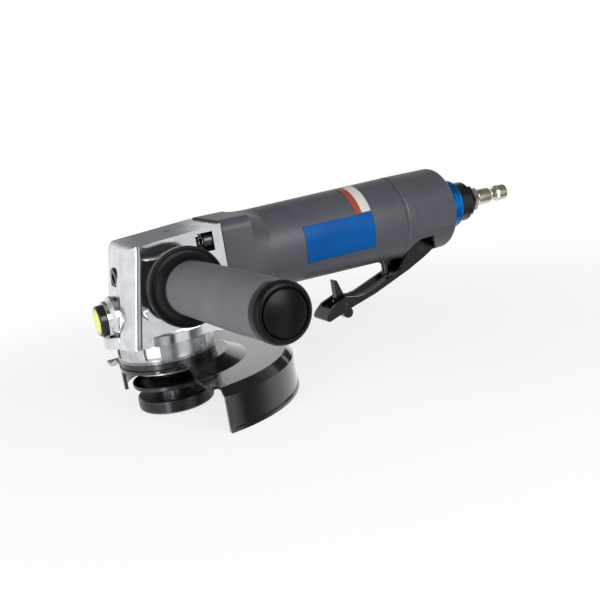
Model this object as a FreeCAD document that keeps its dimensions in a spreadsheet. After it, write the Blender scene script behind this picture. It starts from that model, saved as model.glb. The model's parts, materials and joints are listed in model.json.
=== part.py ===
import FreeCAD, Part
import Sketcher
import math
import os

# Pneumatic angle grinder, millimetres, +Z up.
# The spindle turns about the Z axis and z = 0 is its lower end, flush with the clamp nut.
# The motor lies along +X and the side handle points towards -Y.

doc = FreeCAD.newDocument("AngleGrinder")
sheet = doc.addObject("Spreadsheet::Sheet", "Sizes")

SIZES = {
    "overrun": 3,
    "run_gap": 0.05,
    "motor_z": 70.5,
    # spindle line
    "thread_r": 7,
    "nut_r": 20,
    "nut_h": 7.2,
    "nut_bevel": 0.9,
    "nut_top_bevel": 0.6,
    "edge_bevel": 0.7,
    "spanner_hole_r": 2.4,
    "spanner_hole_h": 4,
    "spanner_hole_at": 14.5,
    "wheel_gap": 5.2,
    "flange_r": 21.3,
    "flange_rim_h": 2.6,
    "flange_dome_r": 15.5,
    "flange_dome_h": 6.2,
    "flange_hub_r": 12,
    "flange_hub_h": 9.6,
    "spindle_land_r": 10,
    "lower_bearing_z": 31,
    "lower_bearing_h": 10,
    "lower_bearing_bore": 8.5,
    "lower_bearing_r": 17.5,
    "bearing_step": 1.5,
    "upper_bearing_h": 5,
    "upper_bearing_r": 9.5,
    "spindle_top_r": 5,
    "gear_seat_r": 7.5,
    "gear_seat_top_z": 60,
    "gear_clip_z": 63.6,
    "gear_clip_r": 8.8,
    "gear_clip_t": 1.4,
    "gear_hub_z": 45,
    "gear_hub_r": 15.5,
    "lock_hole_r": 3.3,
    "lock_hole_at": 9.6,
    "lock_hole_len": 8,
    "race_share": 0.28,
    "race_groove": 0.4,
    "seal_z": 24,
    "seal_h": 4,
    # bevel drive
    "gear_r": 17,
    "gear_teeth": 24,
    "pinion_teeth": 13,
    "tooth_face": 6,
    "tooth_low_share": 0.62,
    "tooth_tip_share": 0.24,
    "tooth_top_share": 0.75,
    "tooth_root_share": 1.05,
    "tooth_foot_share": 1.25,
    "gear_back_share": 0.6,
    "pinion_hub_r": 7.6,
    # gear head casting
    "head_back_x": 33,
    "head_half": 23,
    "head_low_front_x": 27,
    "head_top_front_x": 16.6,
    "head_lean": 0.194,
    "head_corner_in": 4,
    "head_front_half": 11,
    "head_round": 6,
    "head_low_z": 38.3,
    "head_step_z": 47.5,
    "head_step_x": 25,
    "head_up": 21.3,
    "head_top_fall": 3,
    "head_brow_fall": 2.6,
    "head_top_x": 12.5,
    "foot_r": 26.5,
    "foot_h": 4.5,
    "cavity_r": 19.5,
    "cavity_step_z": 64.6,
    "cavity_upper_r": 13.2,
    "cavity_up": 8,
    "ring_neck_r": 21,
    "drive_bore_r": 14.6,
    "recess_h": 6.4,
    "recess_in": 4.2,
    "recess_front_x": -7.7,
    "recess_floor_y": 18.6,
    "head_flange_t": 5,
    "head_bolt_y": 17.5,
    "head_bolt_z": 13.5,
    "head_bolt_r": 2.5,
    "head_bolt_len": 22,
    "head_bolt_head_r": 4.25,
    "head_bolt_head_h": 5,
    "head_bolt_key_r": 2.1,
    "head_pocket_r": 4.9,
    "head_pocket_len": 8,
    "bolt_bevel": 0.5,
    "bolt_key_depth": 2.8,
    "boss_root": 20,
    "boss_r": 14.5,
    "boss_reach": 32.4,
    "lug_r": 3.8,
    "lug_x": -11.7,
    "lug_drop": 14.5,
    "lug_reach": 31,
    "plug_r": 5.8,
    "plug_up": 2,
    "plug_out": 20.6,
    "plug_len": 5.5,
    "plug_stem_r": 3,
    "plug_stem_len": 5,
    "plug_key_r": 2.8,
    "top_screw_r": 2.2,
    "top_screw_x": 13,
    "top_screw_y": 3,
    "top_screw_len": 3,
    "top_screw_in": 4.3,
    # spindle lock
    "lock_z": 52.9,
    "nose_r": 11.3,
    "nose_x": 28,
    "nose_round": 2.5,
    "nose_foot_r": 11.5,
    "nose_foot_x": 31.8,
    "nose_foot_h": 6,
    "bush_r": 9.4,
    "bush_lip": 1.4,
    "bush_in": 2,
    "lock_shelf_x": 20.6,
    "button_bore_r": 8.1,
    "button_disc_r": 6.6,
    "button_disc_t": 1,
    "button_r": 8,
    "button_out": 33.2,
    "button_rim": 1.4,
    "button_len": 5.6,
    "lock_pin_r": 3,
    "lock_pin_tip": 16.4,
    # bearing ring and guard
    "ring_z": 30.1,
    "ring_r": 25.6,
    "ring_low_z": 21.5,
    "ring_neck_low_r": 20.8,
    "ring_bore": 12.5,
    "ring_neck_top": 43,
    "notch_w": 8.4,
    "notch_h": 6.2,
    "notch_d": 2.6,
    "notch_up": 1,
    "notch_turn": -124,
    "collar_r": 25.2,
    "collar_h": 4.2,
    "collar_slit": 3,
    "ear_root": 23,
    "ear_x": 26.4,
    "ear_len": 9.6,
    "ear_h": 8,
    "ear_t": 5,
    "clamp_turn": 75,
    "clamp_bolt_r": 2,
    "clamp_bolt_head_r": 3.5,
    "clamp_bolt_len": 17,
    "guard_r": 65.4,
    "guard_t": 1.8,
    "guard_dish_z": 25.5,
    "guard_dish_r": 31.5,
    "guard_plate_r": 41,
    "guard_plate_z": 20.9,
    "guard_shoulder_r": 61.6,
    "guard_shoulder_z": 16.6,
    "guard_low_z": -1.2,
    "guard_bead": 0.8,
    "guard_bead_h": 2.4,
    "skirt_trim": 4.4,
    "skirt_trim_r": 57,
    "guard_collar_r": 26.2,
    "tongue_x": 24,
    "tongue_low_y": 11,
    "tongue_top_y": 42,
    "apron_z": 14,
    "apron_r": 24.4,
    "apron_side": 20,
    "guard_hole_r": 21.4,
    # side handle
    "handle_x": 3,
    "handle_drop": 3.7,
    "handle_rake": 3.5,
    "handle_base_r": 20.3,
    "handle_base_far": 37.6,
    "handle_base_round": 1,
    "handle_neck_len": 41,
    "handle_neck_r": 14.4,
    "grip_start_r": 13.4,
    "grip_mid_r": 13.6,
    "grip_mid_back": 34,
    "grip_end_r": 13,
    "grip_end_len": 128,
    "grip_lip": 0.9,
    "cap_lip_r": 13.7,
    "cap_face_r": 11.8,
    "cap_lip_t": 2.6,
    "cap_face_t": 2.4,
    "cap_dome_t": 3.4,
    "cap_dome_r": 7,
    "cap_spigot_r": 9.5,
    "cap_spigot_h": 10,
    "stud_r": 4,
    "stud_near": 20.5,
    "stud_tail": 36,
    # motor
    "housing_len": 111,
    "block_half": 22.3,
    "block_corner": 6,
    "block_len": 17,
    "blend_len": 10,
    "barrel_front_r": 22.6,
    "barrel_rear_r": 23.9,
    "motor_bore_r": 19.3,
    "motor_end_gap": 0.4,
    "exhaust_groove_y": 17.7,
    "exhaust_groove_half": 4.5,
    "exhaust_room_y": 9.5,
    "exhaust_room_len": 4.6,
    "exhaust_way_y": 12,
    "exhaust_way_r": 2.4,
    "liner_r": 19.2,
    "liner_bore_r": 15.8,
    "liner_offset": 2,
    "rotor_r": 13.6,
    "rotor_in": 13.2,
    "rotor_len": 61.6,
    "plate_t": 10,
    "shaft_r": 5,
    "shaft_step_r": 6,
    "motor_bearing_r": 13,
    "motor_bearing_t": 8,
    "vane_t": 2,
    "vane_h": 5.6,
    "vane_count": 5,
    "slot_w": 2.2,
    "slot_root_r": 7.6,
    "pinion_front_x": 9.6,
    "pinion_back_x": 21,
    # labels
    "label_t": 0.25,
    "label_gap": 0.1,
    "label_x": 79.5,
    "label_len": 43,
    "label_down": 10.5,
    "label_up": 9.7,
    "sticker_len": 10,
    # rear cap
    "cap_r": 24,
    "cap_len": 35.5,
    "cap_round": 3,
    "cap_cavity_r": 12.6,
    "tube_r": 6,
    "tube_bore": 4,
    "tube_stop": 2,
    "air_way_r": 3.5,
    "pad_in": 6.5,
    "pad_low": 8.4,
    "pad_y": 22.4,
    "silencer_gap": 0.2,
    "silencer_bore": 9,
    "silencer_in": 3,
    "cap_floor": 17.5,
    "gasket_t": 0.8,
    "liner_pin_r": 0.9,
    "liner_pin_at": 17.5,
    "liner_pin_in": 3,
    "port_r": 2.4,
    "shaft_hole_gap": 0.4,
    "rotor_gap": 0.2,
    "journal_len": 9.5,
    "vane_gap": 0.15,
    "sticker_gap": 0.6,
    "sticker_near_y": 3,
    "label_far_y": 12,
    "ring_seat_r": 11,
    "ring_seat_len": 12.9,
    "exhaust_r": 0.8,
    "exhaust_at": 12.4,
    "blue_r": 14.3,
    "blue_gap": 0.3,
    "blue_end_gap": 0.4,
    "blue_round": 1.2,
    "bush_collar_r": 11.9,
    "bush_collar_len": 7.6,
    "hex_len": 4.5,
    "hex_r": 9.8,
    "inlet_thread_r": 9.5,
    "inlet_way_r": 4,
    "screen_r": 3.9,
    "screen_t": 0.7,
    "screen_in": 3,
    "screen_len": 8,
    "inlet_thread_len": 9.5,
    "plug_hex_r": 7.8,
    "plug_hex_len": 4.2,
    "plug_thread_r": 6.5,
    "plug_thread_len": 11,
    "plug_neck_r": 4.4,
    "nipple_r": 4.9,
    "plug_neck_len": 1.5,
    "nipple_len": 9.5,
    "groove_r": 3.7,
    "groove_fall": 2.6,
    "groove_len": 3.4,
    "tip_r": 4.8,
    "tip_rise": 1.2,
    "tip_len": 6.4,
    "air_r": 1.9,
    # throttle
    "pivot_in": 18,
    "pivot_drop": 20.9,
    "lever_slope": 19,
    "lever_half_w": 8,
    "lever_wall": 2,
    "lever_web": 1.4,
    "heel_back": 6.8,
    "heel_drop": 4,
    "rear_back": 8.2,
    "rear_drop": 1.6,
    "rear_up": 2,
    "crown_back": 6.2,
    "crown_back_h": 4.5,
    "crown_h": 5.2,
    "crown_near": 3.2,
    "crown_far": 9,
    "crown_far_h": 3.6,
    "step_near": 15.5,
    "step_far": 18.5,
    "rail_h": 3.4,
    "rail_far": 45,
    "dip_far": 50,
    "dip_h": 2.2,
    "pad_near": 57,
    "pad_far": 67,
    "pad_h": 1.9,
    "nose_near": 72.5,
    "nose_fall": 0.3,
    "lever_len": 75.5,
    "tip_fall": 3,
    "chin_near": 73.5,
    "chin_depth": 4.7,
    "knee_near": 56,
    "knee_depth": 5.3,
    "belly_far": 40,
    "belly_far_depth": 6.5,
    "belly_near": 14,
    "belly_near_depth": 6.3,
    "belly_depth": 5.2,
    "lever_round": 1.6,
    "web_start": 6,
    "pivot_r": 2,
    "relief_gap": 0.3,
    "relief_in": 3,
    "relief_low": 19.5,
    "relief_bend": 2.5,
    "relief_bend_low": 15.3,
    "relief_brow": 6.5,
    "relief_brow_low": 12.7,
    "relief_crown": 13,
    "relief_low_top": 12.3,
    "relief_tail": 5,
    "relief_tail_low": 15,
    "relief_past": 9.5,
    "relief_side": 8.8,
    "relief_taper": 8,
    "relief_taper_w": 10.5,
    "latch_s": 59.5,
    "latch_t": -1.5,
    "latch_w": 4.4,
    "latch_hub_r": 2.6,
    "latch_pin_r": 1.2,
    "finger_h": 14.4,
    "finger_top_w": 2,
    "finger_lean": 0.8,
    "finger_top_x": 3,
    "finger_base_h": 5.4,
    "finger_base_front": 2.9,
    "finger_base_rear": 1.9,
    "latch_nose_r": 3.1,
    "latch_nose_x": 3.6,
    "latch_nose_z": 6.8,
    "latch_slot_near": 52.6,
    "latch_slot_far": 69,
    "latch_slot_gap": 0.4,
    "valve_in": 4.3,
    "valve_pin_r": 2.2,
    "valve_pin_stub": 8,
    "valve_bush_r": 3.9,
    "valve_bush_lip": 0.6,
    "valve_bush_drop": 25.1,
    "valve_seat_drop": 6.5,
    "valve_room_h": 14,
    "valve_room_r": 3,
    "valve_port_drop": 16,
    "valve_port_r": 1.8,
    "valve_head_r": 3.4,
    "valve_seat_gap": 0.05,
    "valve_head_h": 2.6,
    "valve_bore_up": 11.5,
    "valve_spring_r": 2.6,
    "valve_spring_wire": 0.45,
    "latch_spring_r": 1.9,
    "latch_spring_wire": 0.4,
    "lock_spring_r": 5,
    "lock_spring_wire": 0.35,
}


class Size:
    # A number together with the sheet expression that it comes from.
    def __init__(self, value, text):
        self.value = value
        self.text = text

    def __add__(self, other):
        other = as_size(other)
        return Size(self.value + other.value, "(%s + %s)" % (self.text, other.text))

    def __sub__(self, other):
        other = as_size(other)
        return Size(self.value - other.value, "(%s - %s)" % (self.text, other.text))

    def __mul__(self, other):
        other = as_size(other)
        return Size(self.value * other.value, "(%s * %s)" % (self.text, other.text))

    def __truediv__(self, other):
        other = as_size(other)
        return Size(self.value / other.value, "(%s / %s)" % (self.text, other.text))

    def __neg__(self):
        return Size(-self.value, "(0 - %s)" % self.text)


def as_size(item):
    if isinstance(item, Size):
        return item
    return Size(float(item), repr(float(item)))


class Sizes:
    pass


s = Sizes()
for row, (name, value) in enumerate(SIZES.items(), start=1):
    sheet.set("A%d" % row, name)
    sheet.set("B%d" % row, str(value))
    sheet.setAlias("B%d" % row, name)
    setattr(s, name, Size(float(value), "Sizes." + name))
doc.recompute()

zero = as_size(0)

# Places along X and heights that follow from the sizes.
head_top_z = s.motor_z + s.head_up
head_top_front_z = head_top_z - s.head_top_fall
head_brow_z = head_top_front_z - s.head_brow_fall
recess_top_z = head_top_z - s.recess_in
recess_low_z = recess_top_z - s.recess_h
plug_z = s.motor_z + s.plug_up
top_screw_z = head_top_z - s.top_screw_in
lug_z = s.motor_z - s.lug_drop
handle_z = s.motor_z - s.handle_drop
cavity_top_z = s.motor_z + s.cavity_up
upper_bearing_z = cavity_top_z + s.bearing_step
housing_end_x = s.head_back_x + s.housing_len
block_end_x = s.head_back_x + s.block_len
blend_x = block_end_x + s.blend_len
rotor_front_x = s.head_back_x + s.rotor_in
label_end_x = s.label_x + s.label_len
label_low_z = s.motor_z - s.label_down
label_top_z = s.motor_z + s.label_up
sticker_x = label_end_x - s.sticker_len
cap_end_x = housing_end_x + s.cap_len
pad_x = housing_end_x + s.pad_in
silencer_r = s.cap_cavity_r - s.silencer_gap
silencer_x = housing_end_x + s.silencer_in
silencer_end_x = cap_end_x - s.cap_floor
ring_seat_end_x = cap_end_x + s.ring_seat_len
blue_x = cap_end_x + s.blue_gap
blue_end_x = ring_seat_end_x - s.blue_end_gap
hex_x = ring_seat_end_x + s.bush_collar_len
hex_end_x = hex_x + s.hex_len
inlet_thread_x = cap_end_x - s.inlet_thread_len
tube_end_x = inlet_thread_x - s.tube_stop
screen_x = inlet_thread_x + s.screen_in
screen_end_x = screen_x + s.screen_len
plug_hex_end_x = hex_end_x + s.plug_hex_len
plug_thread_x = hex_end_x - s.plug_thread_len
nipple_x = plug_hex_end_x + s.plug_neck_len
nipple_end_x = nipple_x + s.nipple_len
groove_x = nipple_end_x + s.groove_fall
groove_end_x = groove_x + s.groove_len
tip_x = groove_end_x + s.tip_rise
tip_end_x = tip_x + s.tip_len
pivot_x = housing_end_x + s.pivot_in
pivot_z = s.motor_z - s.pivot_drop
valve_x = housing_end_x - s.valve_in
valve_bush_low_z = s.motor_z - s.valve_bush_drop
valve_bush_top_z = s.motor_z - s.valve_seat_drop
valve_room_z = valve_bush_top_z - s.valve_room_h
valve_port_z = s.motor_z - s.valve_port_drop
valve_bore_top_z = s.motor_z + s.valve_bore_up

TURNS = {
    "Z": FreeCAD.Rotation(),
    "X": FreeCAD.Rotation(FreeCAD.Vector(0, 1, 0), 90),
    "-X": FreeCAD.Rotation(FreeCAD.Vector(0, 1, 0), -90),
    "Y": FreeCAD.Rotation(FreeCAD.Vector(1, 0, 0), -90),
    "-Y": FreeCAD.Rotation(FreeCAD.Vector(1, 0, 0), 90),
}


def bind(item, **values):
    for field, value in values.items():
        value = as_size(value)
        setattr(item, field, value.value)
        if "Sizes." in value.text:
            item.setExpression(field, value.text)


def place(item, at, turn=None):
    numbers = [as_size(number) for number in at]
    base = FreeCAD.Vector(*[number.value for number in numbers])
    item.Placement = FreeCAD.Placement(base, turn if turn else FreeCAD.Rotation())
    for letter, number in zip("xyz", numbers):
        if "Sizes." in number.text:
            item.setExpression("Placement.Base." + letter, number.text)
    return item


def cylinder(label, radius, length, at=(0, 0, 0), along="Z"):
    item = doc.addObject("Part::Cylinder", label)
    bind(item, Radius=radius, Height=length)
    return place(item, at, TURNS[along])


def box(label, low, high):
    item = doc.addObject("Part::Box", label)
    low = [as_size(number) for number in low]
    high = [as_size(number) for number in high]
    bind(item, Length=high[0] - low[0], Width=high[1] - low[1], Height=high[2] - low[2])
    return place(item, low)


def cut(label, base, *tools):
    item = doc.addObject("Part::Cut", label)
    item.Base = base
    item.Tool = tools[0] if len(tools) == 1 else join(label + "_tools", *tools)
    return item


def join(label, *shapes):
    item = doc.addObject("Part::MultiFuse", label)
    item.Shapes = list(shapes)
    return item


def common(label, *shapes):
    item = doc.addObject("Part::MultiCommon", label)
    item.Shapes = list(shapes)
    return item


def group(label, *shapes):
    item = doc.addObject("Part::Compound", label)
    item.Links = list(shapes)
    return item


def sketch_on(body, label, role, points):
    # A closed outline of straight lines, each corner held by two driving distances.
    sketch = body.newObject("Sketcher::SketchObject", label)
    plane = [item for item in body.Origin.OriginFeatures if item.Role == role][0]
    sketch.AttachmentSupport = [(plane, "")]
    sketch.MapMode = "FlatFace"
    corners = [(as_size(a), as_size(b)) for a, b in points]
    count = len(corners)
    for number, (a, b) in enumerate(corners):
        c, d = corners[(number + 1) % count]
        start = FreeCAD.Vector(a.value, b.value, 0)
        end = FreeCAD.Vector(c.value, d.value, 0)
        sketch.addGeometry(Part.LineSegment(start, end), False)
    for number in range(count):
        sketch.addConstraint(Sketcher.Constraint("Coincident", number, 2, (number + 1) % count, 1))
    for number, corner in enumerate(corners):
        for kind, size in zip(("DistanceX", "DistanceY"), corner):
            index = sketch.addConstraint(Sketcher.Constraint(kind, -1, 1, number, 1, size.value))
            if "Sizes." in size.text:
                sketch.setExpression("Constraints[%d]" % index, size.text)
    return sketch


def turned(label, points, along="Z", at=(0, 0, 0)):
    # Points are (distance along the axis, radius).
    body = doc.addObject("PartDesign::Body", label)
    profile = sketch_on(body, label + "_profile", "XZ_Plane", [(radius, height) for height, radius in points])
    turn = body.newObject("PartDesign::Revolution", label + "_turn")
    turn.Profile = profile
    turn.ReferenceAxis = (profile, ["V_Axis"])
    turn.Angle = 360
    body.Tip = turn
    return place(body, at, TURNS[along])


def prism(label, points, role, low, high, at=(0, 0, 0), turn=None):
    # An outline on an origin plane, padded from low to high along the plane's normal.
    body = doc.addObject("PartDesign::Body", label)
    profile = sketch_on(body, label + "_outline", role, points)
    low, high = as_size(low), as_size(high)
    profile.AttachmentOffset = FreeCAD.Placement(FreeCAD.Vector(0, 0, low.value), FreeCAD.Rotation())
    if "Sizes." in low.text:
        profile.setExpression("AttachmentOffset.Base.z", low.text)
    pad = body.newObject("PartDesign::Pad", label + "_pad")
    pad.Profile = profile
    bind(pad, Length=high - low)
    body.Tip = pad
    return place(body, at, turn)


def rounded(body, label, radius, wanted):
    # A fillet on the edges of the body's last feature that the test picks out.
    doc.recompute()
    base = body.Tip
    names = ["Edge%d" % (n + 1) for n, edge in enumerate(base.Shape.Edges) if wanted(edge)]
    fillet = body.newObject("PartDesign::Fillet", label)
    fillet.Base = (base, names)
    bind(fillet, Radius=radius)
    body.Tip = fillet
    return body


def ring_points(near, far, inner, outer):
    return [(near, inner), (far, inner), (far, outer), (near, outer)]


def on_circle(edge, radius):
    curve = edge.Curve
    return hasattr(curve, "Radius") and abs(curve.Radius - as_size(radius).value) < 0.001


# Clamp nut, inner flange and spindle.

def round_the_axis(count, first=0):
    # Unit steps round a full turn, as (turn in degrees, across, along).
    for number in range(count):
        turn = first + 360 / count * number
        yield turn, math.cos(math.radians(turn)), math.sin(math.radians(turn))


nut_blank = turned("nut_blank", [
    (zero, s.thread_r), (zero, s.nut_r - s.nut_bevel), (s.nut_bevel, s.nut_r),
    (s.nut_h - s.nut_top_bevel, s.nut_r), (s.nut_h, s.nut_r - s.nut_top_bevel), (s.nut_h, s.thread_r),
])
spanner_holes = [
    cylinder("spanner_hole_%d" % turn, s.spanner_hole_r, s.spanner_hole_h + s.overrun,
             (s.spanner_hole_at * across, s.spanner_hole_at * along, -s.overrun))
    for turn, across, along in round_the_axis(4)
]
clamp_nut = cut("clamp_nut", nut_blank, *spanner_holes)

flange_z = s.nut_h + s.wheel_gap
inner_flange = turned("inner_flange", [
    (flange_z, s.thread_r), (flange_z, s.flange_r - s.edge_bevel), (flange_z + s.edge_bevel, s.flange_r),
    (flange_z + s.flange_rim_h, s.flange_r), (flange_z + s.flange_dome_h, s.flange_dome_r),
    (flange_z + s.flange_dome_h, s.flange_hub_r), (flange_z + s.flange_hub_h, s.flange_hub_r),
    (flange_z + s.flange_hub_h, s.thread_r),
])

land_z = flange_z + s.flange_hub_h
journal_top = s.lower_bearing_z + s.lower_bearing_h
spindle_top = upper_bearing_z + s.upper_bearing_h
spindle = turned("spindle", [
    (zero, zero), (zero, s.thread_r - s.edge_bevel), (s.edge_bevel, s.thread_r), (land_z, s.thread_r),
    (land_z, s.spindle_land_r), (s.lower_bearing_z, s.spindle_land_r),
    (s.lower_bearing_z, s.lower_bearing_bore - s.run_gap), (journal_top, s.lower_bearing_bore - s.run_gap),
    (journal_top, s.spindle_land_r), (s.gear_hub_z, s.spindle_land_r), (s.gear_hub_z, s.gear_seat_r),
    (s.gear_seat_top_z, s.gear_seat_r), (s.gear_seat_top_z, s.spindle_top_r - s.run_gap),
    (spindle_top, s.spindle_top_r - s.run_gap), (spindle_top, zero),
])
gear_clip = turned("gear_clip", ring_points(s.gear_clip_z, s.gear_clip_z + s.gear_clip_t,
                                            s.spindle_top_r - s.run_gap, s.gear_clip_r))


# Bevel gear and pinion.

def bevel_wheel(label, teeth, other_teeth, hub_length, hub_r, bore_r):
    # Teeth taper towards the point where the two shafts' axes cross, here the local origin.
    # The wheel's axis is local +Z and its wide end is at negative z.
    module = s.gear_r.value * 2 / s.gear_teeth.value
    pitch_r = module * teeth / 2
    cone_z = module * other_teeth / 2
    slant = math.hypot(pitch_r, cone_z)
    narrow_share = (slant - s.tooth_face.value) / slant
    step = 2 * math.pi / teeth
    top = s.tooth_top_share.value * module
    root = s.tooth_root_share.value * module
    foot = root * s.tooth_foot_share.value

    def point(lift, half_angle, scale):
        # lift is measured square to the pitch cone, outwards
        radius = pitch_r + lift * cone_z / slant
        height = lift * pitch_r / slant - cone_z
        return FreeCAD.Vector(radius * math.cos(half_angle), radius * math.sin(half_angle), height) * scale

    def tooth(angle):
        low_half = s.tooth_low_share.value * step / 2
        top_half = s.tooth_tip_share.value * step / 2
        wires = []
        for scale in (1, narrow_share):
            ring = [point(-foot, -low_half, scale), point(top, -top_half, scale),
                    point(top, top_half, scale), point(-foot, low_half, scale)]
            wires.append(Part.makePolygon(ring + [ring[0]]))
        solid = Part.makeLoft(wires, True, True)
        solid.rotate(FreeCAD.Vector(), FreeCAD.Vector(0, 0, 1), math.degrees(angle))
        return solid

    wide_r = pitch_r - root * cone_z / slant
    wide_z = -cone_z - root * pitch_r / slant
    back_z = wide_z - (wide_r - hub_r) * s.gear_back_share.value
    base_z = -cone_z - hub_length
    outline = [(bore_r, wide_z * narrow_share), (wide_r * narrow_share, wide_z * narrow_share),
               (wide_r, wide_z), (hub_r, back_z), (hub_r, base_z), (bore_r, base_z)]
    corners = [FreeCAD.Vector(radius, 0, height) for radius, height in outline]
    face = Part.Face(Part.makePolygon(corners + [corners[0]]))
    blank = face.revolve(FreeCAD.Vector(), FreeCAD.Vector(0, 0, 1), 360)
    # the first tooth stands half a step on, so that a gap and a tooth meet in the plane of both axes
    all_teeth = [tooth(step * (number + 0.5)) for number in range(teeth)]
    item = doc.addObject("Part::Feature", label)
    item.Shape = blank.multiFuse(all_teeth).removeSplitter()
    return item


gear_count = int(s.gear_teeth.value)
pinion_count = int(s.pinion_teeth.value)
gear_module = s.gear_r / s.gear_teeth * 2
gear_cone = gear_module * s.pinion_teeth / 2
gear_hub_len = s.motor_z - gear_cone - s.gear_hub_z
gear_blank = bevel_wheel("gear_blank", gear_count, pinion_count, gear_hub_len.value,
                         s.gear_hub_r.value, s.gear_seat_r.value)
place(gear_blank, (zero, zero, s.motor_z))
lock_holes = []
for turn, across, along in round_the_axis(8):
    hole = cylinder("lock_hole_%d" % turn, s.lock_hole_r, s.lock_hole_len)
    outwards = FreeCAD.Rotation(FreeCAD.Vector(0, 0, 1), FreeCAD.Vector(across, along, 0))
    lock_holes.append(place(hole, (s.lock_hole_at * across, s.lock_hole_at * along, s.lock_z), outwards))
bevel_gear = cut("bevel_gear", gear_blank, *lock_holes)

bevel_pinion = bevel_wheel("bevel_pinion", pinion_count, gear_count, (s.pinion_back_x - s.gear_r).value,
                           s.pinion_hub_r.value, s.shaft_r.value)
place(bevel_pinion, (zero, zero, s.motor_z), TURNS["-X"])

# Bearings.

def bearing(label, inner, outer, near, width, along, at):
    # Two races and a ring of balls, each its own solid.
    depth = (outer - inner) * s.race_share
    middle = (outer + inner) / 2
    ball_r = (outer - inner) / 2 - depth + s.race_groove
    races = []
    for side, low, high in (("inner", inner, inner + depth), ("outer", outer - depth, outer)):
        race = turned("%s_%s_race" % (label, side), ring_points(near, near + width, low, high), along, at)
        groove = doc.addObject("Part::Torus", "%s_%s_groove" % (label, side))
        bind(groove, Radius1=middle, Radius2=ball_r + s.run_gap)
        centre = near + width / 2
        spot = {"Z": (at[0], at[1], centre), "X": (centre, at[1], at[2])}[along]
        place(groove, spot, TURNS[along])
        races.append(cut("%s_%s" % (label, side), race, groove))
    balls = []
    for turn, across, up in round_the_axis(8):
        ball = doc.addObject("Part::Sphere", "%s_ball_%d" % (label, turn))
        bind(ball, Radius=ball_r)
        if along == "Z":
            spot = (middle * across, middle * up, near + width / 2)
        else:
            spot = (near + width / 2, middle * across, as_size(at[2]) + middle * up)
        balls.append(place(ball, spot))
    return group(label, *(races + balls))


origin = (zero, zero, zero)
motor_axis = (zero, zero, s.motor_z)
lower_bearing = bearing("lower_spindle_bearing", s.lower_bearing_bore, s.lower_bearing_r,
                        s.lower_bearing_z, s.lower_bearing_h, "Z", origin)
upper_bearing = bearing("upper_spindle_bearing", s.spindle_top_r, s.upper_bearing_r,
                        upper_bearing_z, s.upper_bearing_h, "Z", origin)

# Bearing ring with its spanner notches, spindle seal.

ring_blank = turned("ring_blank", [
    (s.ring_low_z, s.ring_bore), (s.ring_low_z, s.ring_neck_low_r), (s.ring_z, s.ring_neck_low_r),
    (s.ring_z, s.ring_r), (s.head_low_z, s.ring_r), (s.head_low_z, s.ring_neck_r),
    (s.ring_neck_top, s.ring_neck_r), (s.ring_neck_top, s.lower_bearing_r),
    (s.lower_bearing_z, s.lower_bearing_r), (s.lower_bearing_z, s.ring_bore),
])
notches = []
for turn, across, along in round_the_axis(6):
    notch = box("notch_%d" % turn, (s.ring_r - s.notch_d, -s.notch_w / 2, s.ring_z + s.notch_up),
                (s.ring_r + s.overrun, s.notch_w / 2, s.ring_z + s.notch_up + s.notch_h))
    spin = FreeCAD.Rotation(FreeCAD.Vector(0, 0, 1), turn + s.notch_turn.value)
    corner = spin.multVec(notch.Placement.Base)
    for letter in "xyz":
        notch.setExpression("Placement.Base." + letter, None)
    notch.Placement = FreeCAD.Placement(corner, spin)
    notches.append(notch)
bearing_ring = cut("bearing_ring", ring_blank, *notches)
spindle_seal = turned("spindle_seal", ring_points(s.seal_z, s.seal_z + s.seal_h,
                                                  s.spindle_land_r + s.run_gap, s.ring_bore))

# Gear head casting: a squared plan whose front leans back, cut to its side outline.
corner_x = s.head_low_front_x - s.head_corner_in
plan_back_x = s.head_back_x + s.overrun
head_plan = prism("head_plan", [
    (plan_back_x, -s.head_half), (plan_back_x, s.head_half), (-corner_x, s.head_half),
    (-s.head_low_front_x, s.head_front_half), (-s.head_low_front_x, -s.head_front_half),
    (-corner_x, -s.head_half),
], "XY_Plane", s.head_low_z, head_top_z)
lean = head_plan.Tip
lean.UseCustomVector = True
lean.Direction = FreeCAD.Vector(s.head_lean.value, 0, 1)
lean.setExpression("Direction.x", s.head_lean.text)
rounded(head_plan, "head_plan_round", s.head_round,
        lambda edge: edge.BoundBox.ZLength > s.foot_h.value and edge.BoundBox.XMax < 0)

# side view outline on the XZ plane, whose normal points to -Y
head_side = prism("head_side", [
    (s.head_back_x, s.head_step_z), (s.head_back_x, head_top_z), (-s.head_top_x, head_top_front_z),
    (-s.head_top_front_x - s.overrun, head_brow_z), (-s.head_low_front_x - s.overrun, s.head_low_z),
    (s.head_step_x, s.head_low_z), (s.head_step_x, s.head_step_z),
], "XZ_Plane", -s.foot_r, s.foot_r)
head_block = common("head_block", head_plan, head_side)
foot_top = s.head_low_z + s.foot_h
head_foot = turned("head_foot", [(s.head_low_z, zero), (s.head_low_z, s.foot_r), (foot_top, s.foot_r),
                                 (foot_top, zero)])

rake = FreeCAD.Rotation(FreeCAD.Vector(0, 0, 1), s.handle_rake.value)
far_rake = FreeCAD.Rotation(FreeCAD.Vector(0, 0, 1), -s.handle_rake.value)
handle_spot = (s.handle_x, zero, handle_z)


def handle_cylinder(label, radius, near, far, side="-Y"):
    item = cylinder(label, radius, far - near)
    turn = rake.multiply(TURNS["-Y"]) if side == "-Y" else far_rake.multiply(TURNS["Y"])
    step = turn.multVec(FreeCAD.Vector(0, 0, near.value))
    base = FreeCAD.Vector(s.handle_x.value, 0, handle_z.value) + step
    item.Placement = FreeCAD.Placement(base, turn)
    return item


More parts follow.
